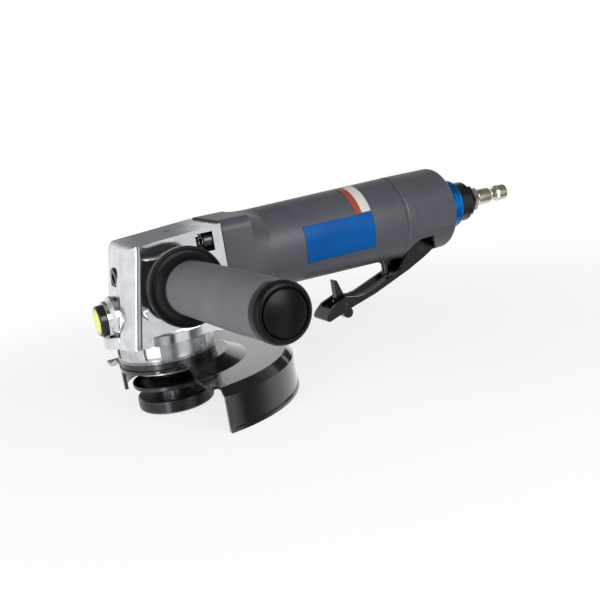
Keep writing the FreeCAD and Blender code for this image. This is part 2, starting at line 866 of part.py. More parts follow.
bosses = [handle_cylinder("handle_boss", s.boss_r, s.boss_root, s.boss_reach),
          handle_cylinder("far_boss", s.boss_r, s.boss_root, s.boss_reach, "Y")]
lugs = [cylinder("near_lug", s.lug_r, s.lug_reach - s.boss_root, (s.lug_x, -s.boss_root, lug_z), "-Y"),
        cylinder("far_lug", s.lug_r, s.lug_reach - s.boss_root, (s.lug_x, s.boss_root, lug_z), "Y")]
nose = turned("lock_nose", [(s.cavity_r, zero), (s.nose_x, zero), (s.nose_x, s.nose_r - s.nose_round),
                            (s.nose_x - s.nose_round, s.nose_r), (s.cavity_r, s.nose_r)],
              "-X", (zero, zero, s.lock_z))
nose_foot = cylinder("nose_foot", s.nose_foot_r, s.nose_foot_h,
                     (s.nose_foot_r - s.nose_foot_x, zero, s.head_low_z))
head_solid = join("head_solid", head_block, head_foot, nose, nose_foot, *(bosses + lugs))

cavity = turned("head_cavity", [
    (s.head_low_z - s.overrun, zero), (s.head_low_z - s.overrun, s.ring_neck_r),
    (s.ring_neck_top, s.ring_neck_r),
    (s.ring_neck_top, s.cavity_r), (s.cavity_step_z, s.cavity_r), (s.cavity_step_z, s.cavity_upper_r),
    (cavity_top_z, s.cavity_upper_r), (cavity_top_z, s.upper_bearing_r),
    (spindle_top, s.upper_bearing_r), (spindle_top, zero),
])
drive_bore = cylinder("drive_bore", s.drive_bore_r, s.head_back_x + s.overrun, (zero, zero, s.motor_z), "X")
lock_bore = turned("lock_bore", [
    (s.cavity_r / 2, zero), (s.nose_x + s.overrun, zero), (s.nose_x + s.overrun, s.button_bore_r),
    (s.lock_shelf_x, s.button_bore_r), (s.lock_shelf_x, s.lock_pin_r + s.run_gap),
    (s.cavity_r / 2, s.lock_pin_r + s.run_gap),
], "-X", (zero, zero, s.lock_z))
bush_seat = turned("bush_seat", ring_points(s.nose_x - s.bush_in, s.nose_x + s.overrun, s.button_bore_r,
                                            s.bush_r),
                   "-X", (zero, zero, s.lock_z))
handle_holes = [handle_cylinder("handle_hole", s.stud_r, s.stud_near, s.boss_reach + s.overrun),
                handle_cylinder("far_hole", s.stud_r, s.stud_near, s.boss_reach + s.overrun, "Y")]
plug_hole = cylinder("plug_hole", s.plug_stem_r, s.plug_stem_len, (s.plug_len - s.plug_out, zero, plug_z),
                     "X")
plug_face = cylinder("plug_face", s.plug_r, s.overrun * 2, (s.plug_len - s.plug_out, zero, plug_z), "-X")
top_hole = cylinder("top_hole", s.top_screw_r, s.top_screw_len + s.overrun,
                    (s.top_screw_x, s.top_screw_y, top_screw_z), "Z")


def side_span(inner, reach, side):
    # The low and high y between an inner face and a reach on the same side.
    outer = reach * side
    return (outer, inner) if side < 0 else (inner, outer)


seat_x = s.head_back_x - s.head_flange_t
recesses = []
bolt_holes = []
bolts = []
for number, (side, up) in enumerate(((-1, 1), (1, 1), (1, -1), (-1, -1))):
    bolt_y = s.head_bolt_y * side
    bolt_z = s.motor_z + s.head_bolt_z * up
    pocket_r = s.head_pocket_r
    pocket = cylinder("bolt_pocket_%d" % number, pocket_r, s.head_pocket_len,
                      (seat_x - s.head_pocket_len, bolt_y, bolt_z), "X")
    low_y, high_y = side_span(bolt_y, s.head_half + s.overrun, side)
    side_cut = box("bolt_side_%d" % number, (seat_x - s.head_pocket_len, low_y, bolt_z - pocket_r),
                   (seat_x, high_y, bolt_z + pocket_r))
    recesses += [pocket, side_cut]
    bolt_holes.append(cylinder("bolt_hole_%d" % number, s.head_bolt_r, s.head_flange_t + s.overrun,
                               (seat_x - s.run_gap, bolt_y, bolt_z), "X"))
    shank = turned("bolt_%d" % number, [
        (zero, s.head_bolt_key_r), (zero, s.head_bolt_head_r - s.bolt_bevel),
        (s.bolt_bevel, s.head_bolt_head_r),
        (s.head_bolt_head_h, s.head_bolt_head_r), (s.head_bolt_head_h, s.head_bolt_r),
        (s.head_bolt_len, s.head_bolt_r), (s.head_bolt_len, zero), (s.bolt_key_depth, zero),
        (s.bolt_key_depth, s.head_bolt_key_r),
    ], "X", (seat_x - s.head_bolt_head_h, bolt_y, bolt_z))
    bolts.append(shank)
for side in (-1, 1):
    low_y, high_y = side_span(s.recess_floor_y * side, s.head_half + s.overrun, side)
    slot = box("recess_%d" % side, (s.recess_front_x, low_y, recess_low_z), (seat_x, high_y, recess_top_z))
    half_h = (recess_top_z - recess_low_z) / 2
    end = cylinder("recess_end_%d" % side, half_h, high_y - low_y,
                   (s.recess_front_x, low_y, recess_low_z + half_h), "Y")
    recesses += [slot, end]

gear_head = cut("gear_head", head_solid, cavity, drive_bore, lock_bore, bush_seat, plug_hole, plug_face,
                top_hole,
                *(handle_holes + recesses + bolt_holes))
head_bolts = group("head_bolts", *bolts)

# Plug screws of the head.

plug_screw = turned("front_plug_screw", [
    (s.plug_out - s.plug_len - s.plug_stem_len + s.run_gap, zero),
    (s.plug_out - s.plug_len - s.plug_stem_len + s.run_gap, s.plug_stem_r),
    (s.plug_out - s.plug_len, s.plug_stem_r), (s.plug_out - s.plug_len, s.plug_r),
    (s.plug_out - s.edge_bevel, s.plug_r), (s.plug_out, s.plug_r - s.edge_bevel), (s.plug_out, s.plug_key_r),
    (s.plug_out - s.bolt_key_depth, s.plug_key_r), (s.plug_out - s.bolt_key_depth, zero),
], "-X", (zero, zero, plug_z))
top_screw = turned("top_plug_screw", [
    (top_screw_z, zero), (top_screw_z, s.top_screw_r), (top_screw_z + s.top_screw_len, s.top_screw_r),
    (top_screw_z + s.top_screw_len, s.top_screw_r / 2),
    (top_screw_z + s.top_screw_len / 2, s.top_screw_r / 2), (top_screw_z + s.top_screw_len / 2, zero),
], "Z", (s.top_screw_x, s.top_screw_y, zero))

# Spindle lock.

lock_axis = (zero, zero, s.lock_z)
button_back = s.button_out - s.button_len
lock_bush = turned("lock_bush", ring_points(s.nose_x - s.bush_in, s.nose_x + s.bush_lip,
                                            s.button_bore_r, s.bush_r), "-X", lock_axis)
lock_button = turned("lock_button", [
    (button_back, s.lock_pin_r), (button_back, s.button_r), (s.button_out - s.edge_bevel, s.button_r),
    (s.button_out, s.button_r - s.edge_bevel), (s.button_out, s.button_disc_r),
    (s.button_out - s.button_disc_t, s.button_disc_r), (s.button_out - s.button_disc_t, zero),
    (s.button_out - s.button_disc_t * 2, zero), (s.button_out - s.button_disc_t * 2, s.lock_pin_r),
], "-X", lock_axis)
button_disc = turned("lock_button_disc", [
    (s.button_out - s.button_disc_t, zero), (s.button_out - s.button_disc_t, s.button_disc_r),
    (s.button_out, s.button_disc_r), (s.button_out + s.bolt_bevel, s.button_disc_r - s.button_rim),
    (s.button_out + s.bolt_bevel, zero),
], "-X", lock_axis)
pin_end = s.button_out - s.button_disc_t * 2
lock_pin = turned("lock_pin", [
    (s.lock_pin_tip, zero), (s.lock_pin_tip, s.lock_pin_r - s.edge_bevel),
    (s.lock_pin_tip + s.edge_bevel, s.lock_pin_r), (pin_end, s.lock_pin_r), (pin_end, zero),
], "-X", lock_axis)


def coil(label, radius, wire, length, turns, at, along):
    # A spring whose wire follows a helix from at, the given length along the axis.
    helix = doc.addObject("Part::Helix", label + "_path")
    bind(helix, Pitch=length / turns, Height=length, Radius=radius)
    section = doc.addObject("Part::Circle", label + "_wire")
    bind(section, Radius=wire)
    place(section, (radius, zero, zero), FreeCAD.Rotation(FreeCAD.Vector(1, 0, 0), 90))
    sweep = doc.addObject("Part::Sweep", label)
    sweep.Sections = [section]
    sweep.Spine = (helix, [])
    sweep.Solid = True
    sweep.Frenet = True
    return place(sweep, at, TURNS[along])


lock_spring_room = button_back - s.lock_shelf_x - s.lock_spring_wire * 2 - s.run_gap * 2
lock_spring = coil("lock_spring", s.lock_spring_r, s.lock_spring_wire, lock_spring_room, 3,
                   (-(s.lock_shelf_x + s.lock_spring_wire + s.run_gap), zero, s.lock_z), "-X")

# Guard, its collar and clamp bolt.

guard_sheet = turned("guard_sheet", [
    (s.guard_dish_z - s.guard_t, s.guard_hole_r), (s.guard_dish_z, s.guard_hole_r),
    (s.guard_dish_z, s.guard_dish_r), (s.guard_plate_z, s.guard_plate_r),
    (s.guard_plate_z, s.guard_shoulder_r),
    (s.guard_shoulder_z, s.guard_r), (s.guard_low_z + s.guard_bead_h, s.guard_r),
    (s.guard_low_z + s.guard_bead_h - s.guard_bead, s.guard_r + s.guard_bead),
    (s.guard_low_z, s.guard_r + s.guard_bead), (s.guard_low_z, s.guard_r - s.guard_t),
    (s.guard_shoulder_z - s.edge_bevel, s.guard_r - s.guard_t),
    (s.guard_plate_z - s.guard_t, s.guard_shoulder_r - s.edge_bevel),
    (s.guard_plate_z - s.guard_t, s.guard_plate_r - s.edge_bevel),
    (s.guard_dish_z - s.guard_t, s.guard_dish_r - s.edge_bevel),
])
guard_apron = turned("guard_apron", ring_points(s.apron_z, s.guard_dish_z - s.guard_t,
                                                s.apron_r, s.guard_collar_r))
far = s.guard_r + s.overrun * 2
open_side = box("open_side", (-far, -far, s.guard_low_z - s.overrun), (zero, far, s.guard_dish_z + s.overrun))
kept_disc = cylinder("kept_disc", s.guard_collar_r, s.guard_dish_z - s.guard_low_z + s.overrun * 3,
                     (zero, zero, s.guard_low_z - s.overrun * 2))
kept_tongue = box("kept_tongue", (-s.tongue_x, s.tongue_low_y, s.guard_low_z - s.overrun * 2),
                  (s.overrun, s.tongue_top_y, s.guard_dish_z + s.overrun * 2))
open_tool = cut("open_tool", open_side, kept_disc, kept_tongue)
skirt_trims = [box("near_trim", (-s.overrun, -far, s.guard_low_z - s.overrun),
                   (s.skirt_trim, -s.skirt_trim_r, s.guard_dish_z + s.overrun)),
               box("far_trim", (-s.overrun, s.skirt_trim_r, s.guard_low_z - s.overrun),
                   (s.skirt_trim, far, s.guard_dish_z + s.overrun))]
guard_top = cut("guard_top", guard_sheet, open_tool, *skirt_trims)
apron_room = prism("apron_room", [
    (zero, zero), (s.apron_side * -0.9, s.apron_side * 2), (s.apron_side * -2, s.apron_side * 2),
    (s.apron_side * -2, zero),
], "XY_Plane", s.apron_z - s.overrun, s.guard_dish_z)
guard_wall = common("guard_wall", guard_apron, apron_room)
guard = join("guard", guard_top, guard_wall)

collar_top = s.guard_dish_z + s.collar_h
collar_ring = turned("collar_ring", ring_points(s.guard_dish_z, collar_top,
                                                s.ring_neck_low_r + s.run_gap, s.collar_r))


def spun_box(label, low, high, turn):
    # A box given at angle zero, turned about the Z axis.
    item = box(label, low, high)
    spin = FreeCAD.Rotation(FreeCAD.Vector(0, 0, 1), turn)
    corner = spin.multVec(item.Placement.Base)
    for letter in "xyz":
        item.setExpression("Placement.Base." + letter, None)
    item.Placement = FreeCAD.Placement(corner, spin)
    return item


clamp_turn = s.clamp_turn.value
ear_half = s.collar_slit / 2 + s.ear_t
ear_end = s.ear_x + s.ear_len
ear_top = s.guard_dish_z + s.ear_h
ear_roots = spun_box("ear_roots", (s.ear_root, -ear_half, s.guard_dish_z), (ear_end, ear_half, collar_top),
                     clamp_turn)
ears = spun_box("clamp_ears", (s.ear_x, -ear_half, s.guard_dish_z), (ear_end, ear_half, ear_top), clamp_turn)
slit = spun_box("clamp_slit", (s.ear_root - s.overrun, -s.collar_slit / 2, s.guard_dish_z - s.overrun),
                (ear_end + s.overrun, s.collar_slit / 2, ear_top + s.overrun), clamp_turn)
spin = FreeCAD.Rotation(FreeCAD.Vector(0, 0, 1), clamp_turn)
bolt_at = s.ear_x + s.ear_len / 2
bolt_mid = s.guard_dish_z + s.ear_h / 2 + s.edge_bevel
start = FreeCAD.Vector(bolt_at.value, -ear_half.value - s.overrun.value, bolt_mid.value)
clamp_hole = cylinder("clamp_hole", s.clamp_bolt_r, (ear_half + s.overrun) * 2)
clamp_hole.Placement = FreeCAD.Placement(spin.multVec(start), spin.multiply(TURNS["Y"]))
guard_collar = cut("guard_collar", join("collar_solid", collar_ring, ear_roots, ears), slit, clamp_hole)
head_start = FreeCAD.Vector(bolt_at.value, -ear_half.value, bolt_mid.value)
clamp_bolt = turned("guard_clamp_bolt", [
    (-s.clamp_bolt_r * 2, zero), (-s.clamp_bolt_r * 2, s.clamp_bolt_head_r), (zero, s.clamp_bolt_head_r),
    (zero, s.clamp_bolt_r), (s.clamp_bolt_len, s.clamp_bolt_r), (s.clamp_bolt_len, zero),
])
clamp_bolt.Placement = FreeCAD.Placement(spin.multVec(head_start), spin.multiply(TURNS["Y"]))

# Side handle.

def on_handle(item):
    base = FreeCAD.Vector(s.handle_x.value, 0, handle_z.value)
    item.Placement = FreeCAD.Placement(base, rake.multiply(TURNS["-Y"]))
    item.setExpression("Placement.Base.x", s.handle_x.text)
    item.setExpression("Placement.Base.z", handle_z.text)
    return item


base_round = s.handle_base_round
spigot_len = s.grip_end_len - s.cap_spigot_h
stud_far = s.grip_end_len - s.stud_tail
lip_len = s.grip_end_len + s.cap_lip_t
face_len = lip_len + s.cap_face_t
dome_len = face_len + s.cap_dome_t
handle_base = on_handle(turned("handle_base", [
    (s.boss_reach, s.stud_r), (s.boss_reach, s.handle_base_r - base_round),
    (s.boss_reach + base_round, s.handle_base_r), (s.handle_base_far - base_round, s.handle_base_r),
    (s.handle_base_far, s.handle_base_r - base_round), (s.handle_neck_len, s.handle_neck_r),
    (s.handle_neck_len, s.stud_r),
]))
handle_grip = on_handle(turned("handle_grip", [
    (s.handle_neck_len, s.stud_r), (s.handle_neck_len, s.grip_start_r),
    (s.grip_end_len - s.grip_mid_back, s.grip_mid_r),
    (s.grip_end_len - s.grip_lip, s.grip_end_r), (s.grip_end_len, s.grip_end_r - s.grip_lip),
    (s.grip_end_len, s.cap_spigot_r), (spigot_len, s.cap_spigot_r), (spigot_len, zero),
    (stud_far, zero), (stud_far, s.stud_r),
]))
handle_cap = on_handle(turned("handle_end_cap", [
    (spigot_len, zero), (spigot_len, s.cap_spigot_r), (s.grip_end_len, s.cap_spigot_r),
    (s.grip_end_len, s.cap_lip_r - s.edge_bevel), (s.grip_end_len + s.edge_bevel, s.cap_lip_r),
    (lip_len, s.cap_lip_r), (face_len, s.cap_face_r), (dome_len - s.edge_bevel, s.cap_dome_r),
    (dome_len, zero),
]))
handle_stud = on_handle(turned("handle_stud", [
    (s.stud_near, zero), (s.stud_near, s.stud_r - s.edge_bevel), (s.stud_near + s.edge_bevel, s.stud_r),
    (stud_far, s.stud_r), (stud_far, zero),
]))

# Air motor.

front_plate_x = rotor_front_x - s.rotor_gap - s.plate_t
liner_x = rotor_front_x - s.rotor_gap
liner_end_x = rotor_front_x + s.rotor_len + s.rotor_gap
rotor_end_x = rotor_front_x + s.rotor_len
wall_t = (s.plate_t - s.motor_bearing_t) / 2
hole_r = s.shaft_step_r + s.shaft_hole_gap
journal_r = s.shaft_r - s.run_gap
plate_end_x = liner_end_x + s.plate_t
motor_bore_end_x = plate_end_x + s.motor_end_gap
exhaust_room_x = motor_bore_end_x + s.exhaust_room_len
liner_pin_x = front_plate_x + s.liner_pin_in
liner_pin_len = plate_end_x - s.liner_pin_in - liner_pin_x
liner_pin_spot = (liner_pin_x, zero, s.motor_z + s.liner_pin_at)
pin_hole = cylinder("liner_pin_hole", s.liner_pin_r, liner_pin_len, liner_pin_spot, "X")


def end_plate(label, outer_x, inner_x, step, *ways):
    # step is the wall thickness, with the sign that points from the outer face to the inner one
    blank = turned(label + "_blank", [
        (outer_x, hole_r), (outer_x, s.liner_r), (inner_x, s.liner_r), (inner_x, hole_r),
        (inner_x - step, hole_r), (inner_x - step, s.motor_bearing_r), (outer_x + step, s.motor_bearing_r),
        (outer_x + step, hole_r),
    ], "X", motor_axis)
    return cut(label, blank, pin_hole, *ways)


inlet_port = cylinder("inlet_port", s.valve_port_r, plate_end_x - liner_end_x + s.overrun * 2,
                      (liner_end_x - s.overrun, zero, valve_port_z), "X")
exhaust_groove = box("exhaust_groove", (liner_x + wall_t, s.exhaust_groove_y,
                                        s.motor_z - s.exhaust_groove_half),
                     (plate_end_x + s.overrun, s.liner_r + s.overrun, s.motor_z + s.exhaust_groove_half))
front_plate = end_plate("front_end_plate", front_plate_x, liner_x, wall_t)
rear_plate = end_plate("rear_end_plate", plate_end_x, liner_end_x, -wall_t, inlet_port, exhaust_groove)
front_bearing = bearing("front_rotor_bearing", s.shaft_r, s.motor_bearing_r, front_plate_x + wall_t,
                        s.motor_bearing_t, "X", motor_axis)
rear_bearing = bearing("rear_rotor_bearing", s.shaft_r, s.motor_bearing_r, liner_end_x + wall_t,
                       s.motor_bearing_t, "X", motor_axis)
liner_blank = cylinder("liner_blank", s.liner_r, liner_end_x - liner_x, (liner_x, zero, s.motor_z), "X")
liner_bore = cylinder("liner_bore", s.liner_bore_r, liner_end_x - liner_x + s.overrun * 2,
                      (liner_x - s.overrun, zero, s.motor_z - s.liner_offset), "X")
ports = [cylinder("port_%d" % number, s.port_r, s.liner_r + s.overrun,
                  (liner_x + (liner_end_x - liner_x) * number / 4, zero, s.motor_z), "Y")
         for number in (1, 2, 3)]
cylinder_liner = cut("cylinder_liner", liner_blank, liner_bore, pin_hole, exhaust_groove, *ports)
liner_pin = cylinder("liner_pin", s.liner_pin_r, liner_pin_len, liner_pin_spot, "X")

bearing_end_x = liner_end_x + wall_t
rotor_blank = turned("rotor_blank", [
    (s.pinion_front_x, zero), (s.pinion_front_x, s.shaft_r - s.edge_bevel),
    (s.pinion_front_x + s.edge_bevel, s.shaft_r), (s.pinion_back_x, s.shaft_r),
    (s.pinion_back_x, s.shaft_step_r), (front_plate_x + wall_t - s.run_gap, s.shaft_step_r),
    (front_plate_x + wall_t - s.run_gap, journal_r), (liner_x - wall_t + s.run_gap, journal_r),
    (liner_x - wall_t + s.run_gap, s.shaft_step_r), (rotor_front_x, s.shaft_step_r),
    (rotor_front_x, s.rotor_r), (rotor_end_x, s.rotor_r), (rotor_end_x, s.shaft_step_r),
    (bearing_end_x - s.run_gap, s.shaft_step_r), (bearing_end_x - s.run_gap, journal_r),
    (rotor_end_x + s.journal_len, journal_r), (rotor_end_x + s.journal_len, zero),
], "X", motor_axis)


def motor_box(label, low, high, turn):
    # A box given beside the motor axis, turned about it.
    item = box(label, low, high)
    spin = FreeCAD.Rotation(FreeCAD.Vector(1, 0, 0), turn)
    corner = spin.multVec(item.Placement.Base)
    for letter in "xyz":
        item.setExpression("Placement.Base." + letter, None)
    item.Placement = FreeCAD.Placement(corner + FreeCAD.Vector(0, 0, s.motor_z.value), spin)
    return item


slots = []
vanes = []
for turn, across, up in round_the_axis(int(s.vane_count.value)):
    slots.append(motor_box("slot_%d" % turn, (rotor_front_x - s.overrun, -s.slot_w / 2, s.slot_root_r),
                           (rotor_end_x + s.overrun, s.slot_w / 2, s.rotor_r + s.overrun), turn))
    vane_low = s.slot_root_r + s.vane_gap
    vanes.append(motor_box("vane_%d" % turn, (rotor_front_x, -s.vane_t / 2, vane_low),
                           (rotor_end_x, s.vane_t / 2, vane_low + s.vane_h), turn))
rotor = cut("rotor", rotor_blank, *slots)
rotor_vanes = group("rotor_vanes", *vanes)

# Motor housing: a squared front that blends into a round barrel.

def square_wire(x, half, corner):
    points = []
    flat = half - corner
    middle = half - corner + corner * math.sqrt(0.5)
    edges = []
    for turn in range(4):
        a = math.radians(90 * turn)

        def at(y, z):
            return FreeCAD.Vector(x, y * math.cos(a) - z * math.sin(a), y * math.sin(a) + z * math.cos(a))

        edges.append(Part.LineSegment(at(half, -flat), at(half, flat)).toShape())
        edges.append(Part.Arc(at(half, flat), at(middle, middle), at(flat, half)).toShape())
    return Part.Wire(edges)


def round_wire(x, radius, half, corner):
    turn_share = math.atan2(half - corner, half)
    marks = []
    for turn in range(4):
        marks += [math.radians(90 * turn) - turn_share, math.radians(90 * turn) + turn_share]
    marks.append(marks[0] + 2 * math.pi)
    edges = []
    for low, high in zip(marks, marks[1:]):
        angles = (low, (low + high) / 2, high)
        spots = [FreeCAD.Vector(x, radius * math.cos(a), radius * math.sin(a)) for a in angles]
        edges.append(Part.Arc(*spots).toShape())
    return Part.Wire(edges)


half, corner = s.block_half.value, s.block_corner.value
block = doc.addObject("Part::Feature", "housing_block")
block.Shape = Part.makeLoft([square_wire(s.head_back_x.value, half, corner),
                             square_wire(block_end_x.value, half, corner)], True, True)
place(block, motor_axis)
blend = doc.addObject("Part::Feature", "housing_blend")
blend.Shape = Part.makeLoft([square_wire(block_end_x.value, half, corner),
                             round_wire(blend_x.value, s.barrel_front_r.value, half, corner)], True, True)
place(blend, motor_axis)
barrel_points = [(blend_x, s.barrel_front_r), (housing_end_x, s.barrel_rear_r)]
barrel = turned("housing_barrel", [(blend_x, zero)] + barrel_points + [(housing_end_x, zero)], "X",
                motor_axis)
gasket_slab = box("gasket_slab", (s.head_back_x, -s.foot_r, zero),
                  (s.head_back_x + s.gasket_t, s.foot_r, s.motor_z + s.foot_r))
joint_bore = cylinder("joint_bore", s.drive_bore_r, s.head_back_x + s.gasket_t, motor_axis, "X")
bolt_ways = []
for number, (side, up) in enumerate(((-1, 1), (1, 1), (1, -1), (-1, -1))):
    spot = (s.head_back_x - s.overrun, s.head_bolt_y * side, s.motor_z + s.head_bolt_z * up)
    bolt_ways.append(cylinder("bolt_way_%d" % number, s.head_bolt_r,
                              s.head_bolt_len - s.head_flange_t + s.overrun * 1.2, spot, "X"))
head_gasket = cut("head_gasket", common("gasket_blank", block, gasket_slab), joint_bore, *bolt_ways)
motor_bore = cylinder("motor_bore", s.motor_bore_r, motor_bore_end_x - s.head_back_x + s.overrun,
                      (s.head_back_x - s.overrun, zero, s.motor_z), "X")
air_way = cylinder("air_way", s.air_way_r, housing_end_x - valve_x + s.overrun, (valve_x, zero, s.motor_z),
                   "X")
feed_way = cylinder("feed_way", s.valve_port_r, valve_x - motor_bore_end_x + s.overrun,
                    (motor_bore_end_x - s.overrun, zero, valve_port_z), "X")
exhaust_room = box("exhaust_room", (motor_bore_end_x - s.overrun, s.exhaust_room_y,
                                    s.motor_z - s.exhaust_groove_half),
                   (exhaust_room_x, s.liner_r - s.edge_bevel, s.motor_z + s.exhaust_groove_half))
exhaust_way = cylinder("exhaust_way", s.exhaust_way_r, housing_end_x - exhaust_room_x + s.overrun * 2,
                       (exhaust_room_x - s.overrun, s.exhaust_way_y, s.motor_z), "X")
bush_way = cylinder("bush_way", s.valve_bush_r, valve_bore_top_z, (valve_x, zero, zero))
motor_housing = cut("motor_housing", join("housing_solid", block, blend, barrel), gasket_slab, motor_bore,
                    air_way,
                    feed_way, exhaust_room, exhaust_way, bush_way, *bolt_ways)

# Labels, kept plain.

side_far = s.cap_r + s.overrun


def barrel_skin(label):
    inner = [(x, r + s.label_gap) for x, r in barrel_points]
    outer = [(x, r + s.label_t) for x, r in reversed(inner)]
    return turned(label, inner + outer, "X", motor_axis)


name_label = common("name_label", barrel_skin("label_skin"),
                    box("label_room", (s.label_x, -side_far, label_low_z),
                        (label_end_x, -s.label_far_y, label_top_z)))
band_sticker = common("band_sticker", barrel_skin("sticker_skin"),
                      box("sticker_room", (sticker_x, -side_far, label_top_z + s.sticker_gap),
                          (label_end_x, -s.sticker_near_y, s.motor_z + side_far)))

# Rear cap with inlet, exhaust ring and air plug.

cap_blank = turned("cap_blank", [
    (housing_end_x, zero), (housing_end_x, s.cap_r), (cap_end_x, s.cap_r), (cap_end_x, zero),
], "X", motor_axis)
rounded(cap_blank, "cap_round_end", s.cap_round,
        lambda edge: on_circle(edge, s.cap_r) and edge.BoundBox.Center.z > s.motor_z.value)
cap_seat = cylinder("cap_seat", s.ring_seat_r, ring_seat_end_x - cap_end_x + s.overrun,
                    (cap_end_x - s.overrun, zero, s.motor_z), "X")
cap_cavity = cylinder("cap_cavity", s.cap_cavity_r, silencer_end_x - housing_end_x + s.overrun,
                      (housing_end_x - s.overrun, zero, s.motor_z), "X")
tube_way = cylinder("tube_way", s.tube_r, tube_end_x - housing_end_x, (housing_end_x, zero, s.motor_z), "X")
thread_way = cylinder("thread_way", s.inlet_thread_r, ring_seat_end_x, (inlet_thread_x, zero, s.motor_z), "X")
inner_way = cylinder("inner_way", s.inlet_way_r, s.overrun * 2, (tube_end_x - s.overrun, zero, s.motor_z),
                     "X")
dial_pad = box("dial_pad", (pad_x, -side_far, s.motor_z - s.pad_low),
               (cap_end_x, -s.pad_y, s.motor_z + s.pad_low))
relief_half = s.lever_half_w - s.lever_wall - s.relief_gap
relief_start_x = housing_end_x + s.relief_in
relief_end_x = pivot_x + s.relief_past
relief_foot_z = s.motor_z - side_far
relief_side_view = [
    (relief_start_x, relief_foot_z), (relief_start_x, s.motor_z - s.relief_low),
    (relief_start_x + s.relief_bend, s.motor_z - s.relief_bend_low),
    (relief_start_x + s.relief_brow, s.motor_z - s.relief_brow_low),
    (relief_start_x + s.relief_crown, s.motor_z - s.relief_low_top),
    (relief_end_x - s.relief_tail, s.motor_z - s.relief_low_top),
    (relief_end_x, s.motor_z - s.relief_tail_low),
    (relief_end_x, relief_foot_z),
]
reliefs = []
for side in (-1, 1):
    # in plan the rear wall slants forward from the ear to the cap's side
    relief_plan = prism("relief_plan_%d" % side, [
        (relief_start_x, relief_half * side), (relief_end_x, relief_half * side),
        (relief_end_x, s.relief_side * side), (relief_end_x - s.relief_taper,
                                               (s.relief_side + s.relief_taper_w) * side),
        (relief_end_x - s.relief_taper, side_far * side), (relief_start_x, side_far * side),
    ], "XY_Plane", relief_foot_z, s.motor_z)
    relief_wall = prism("relief_wall_%d" % side, relief_side_view, "XZ_Plane", -side_far, side_far)
    reliefs.append(common("relief_%d" % side, relief_plan, relief_wall))
pivot_way = cylinder("pivot_way", s.pivot_r, side_far * 2, (pivot_x, -side_far, pivot_z), "Y")
exhaust_ways = []
ring_holes = []
for turn, across, up in round_the_axis(8, 22.5):
    spot = (silencer_end_x - s.overrun, s.exhaust_at * across, s.motor_z + s.exhaust_at * up)
    exhaust_ways.append(cylinder("exhaust_way_%d" % turn, s.exhaust_r,
                                 cap_end_x - silencer_end_x + s.overrun * 2,
                                 spot, "X"))
    spot = (blue_x - s.overrun, s.exhaust_at * across, s.motor_z + s.exhaust_at * up)
    ring_holes.append(cylinder("ring_hole_%d" % turn, s.exhaust_r, blue_end_x - blue_x + s.overrun * 2,
                               spot, "X"))
rear_cap = cut("rear_cap", join("cap_solid", cap_blank, cap_seat), cap_cavity, tube_way, thread_way,
               inner_way,
               dial_pad, pivot_way, *(reliefs + exhaust_ways))
air_tube = turned("air_tube", ring_points(housing_end_x, tube_end_x, s.tube_bore, s.tube_r), "X", motor_axis)
silencer = turned("exhaust_silencer", ring_points(silencer_x, silencer_end_x, s.silencer_bore, silencer_r),
                  "X", motor_axis)
ring_blank = turned("exhaust_ring_blank", [
    (blue_x, s.ring_seat_r + s.run_gap), (blue_x, s.blue_r - s.edge_bevel), (blue_x + s.edge_bevel, s.blue_r),
    (blue_end_x - s.blue_round, s.blue_r), (blue_end_x, s.blue_r - s.blue_round),
    (blue_end_x, s.ring_seat_r + s.run_gap),
], "X", motor_axis)
exhaust_ring = cut("exhaust_ring", ring_blank, *ring_holes)


def hexagon(radius):
    return [(radius * across, radius * up) for turn, across, up in round_the_axis(6)]


bush_round = turned("bush_round", [
    (inlet_thread_x, s.inlet_way_r), (inlet_thread_x, s.inlet_thread_r), (ring_seat_end_x, s.inlet_thread_r),
    (ring_seat_end_x, s.bush_collar_r), (hex_x, s.bush_collar_r), (hex_x, s.plug_thread_r),
    (plug_thread_x, s.plug_thread_r), (plug_thread_x, s.inlet_way_r),
], "X", motor_axis)
bush_hex = prism("bush_hex", hexagon(s.hex_r), "YZ_Plane", hex_x, hex_end_x, motor_axis)
hex_way = cylinder("hex_way", s.plug_thread_r, s.overrun * 4, (hex_x - s.overrun, zero, s.motor_z), "X")
inlet_bush = cut("inlet_bushing", join("bush_solid", bush_round, bush_hex), hex_way)
inlet_screen = turned("inlet_screen", [
    (screen_x, zero), (screen_x, s.screen_r), (screen_end_x, s.screen_r),
    (screen_end_x, s.screen_r - s.screen_t), (screen_x + s.screen_t, s.screen_r - s.screen_t),
    (screen_x + s.screen_t, zero),
], "X", motor_axis)
plug_round = turned("plug_round", [
    (plug_thread_x, s.air_r), (plug_thread_x, s.plug_thread_r), (hex_end_x, s.plug_thread_r),
    (hex_end_x, s.plug_neck_r), (nipple_x, s.plug_neck_r), (nipple_x, s.nipple_r - s.edge_bevel),
    (nipple_x + s.edge_bevel, s.nipple_r), (nipple_end_x, s.nipple_r), (groove_x, s.groove_r),
    (groove_end_x, s.groove_r), (tip_x, s.tip_r), (tip_end_x - s.edge_bevel, s.tip_r),
    (tip_end_x, s.tip_r - s.edge_bevel), (tip_end_x, s.air_r),
], "X", motor_axis)
plug_hex = prism("plug_hex", hexagon(s.plug_hex_r), "YZ_Plane", hex_end_x, plug_hex_end_x, motor_axis)
air_core = cylinder("air_core", s.air_r, tip_end_x, (plug_thread_x - s.overrun, zero, s.motor_z), "X")
air_plug = cut("air_plug", join("plug_solid", plug_round, plug_hex), air_core)

# Throttle valve.

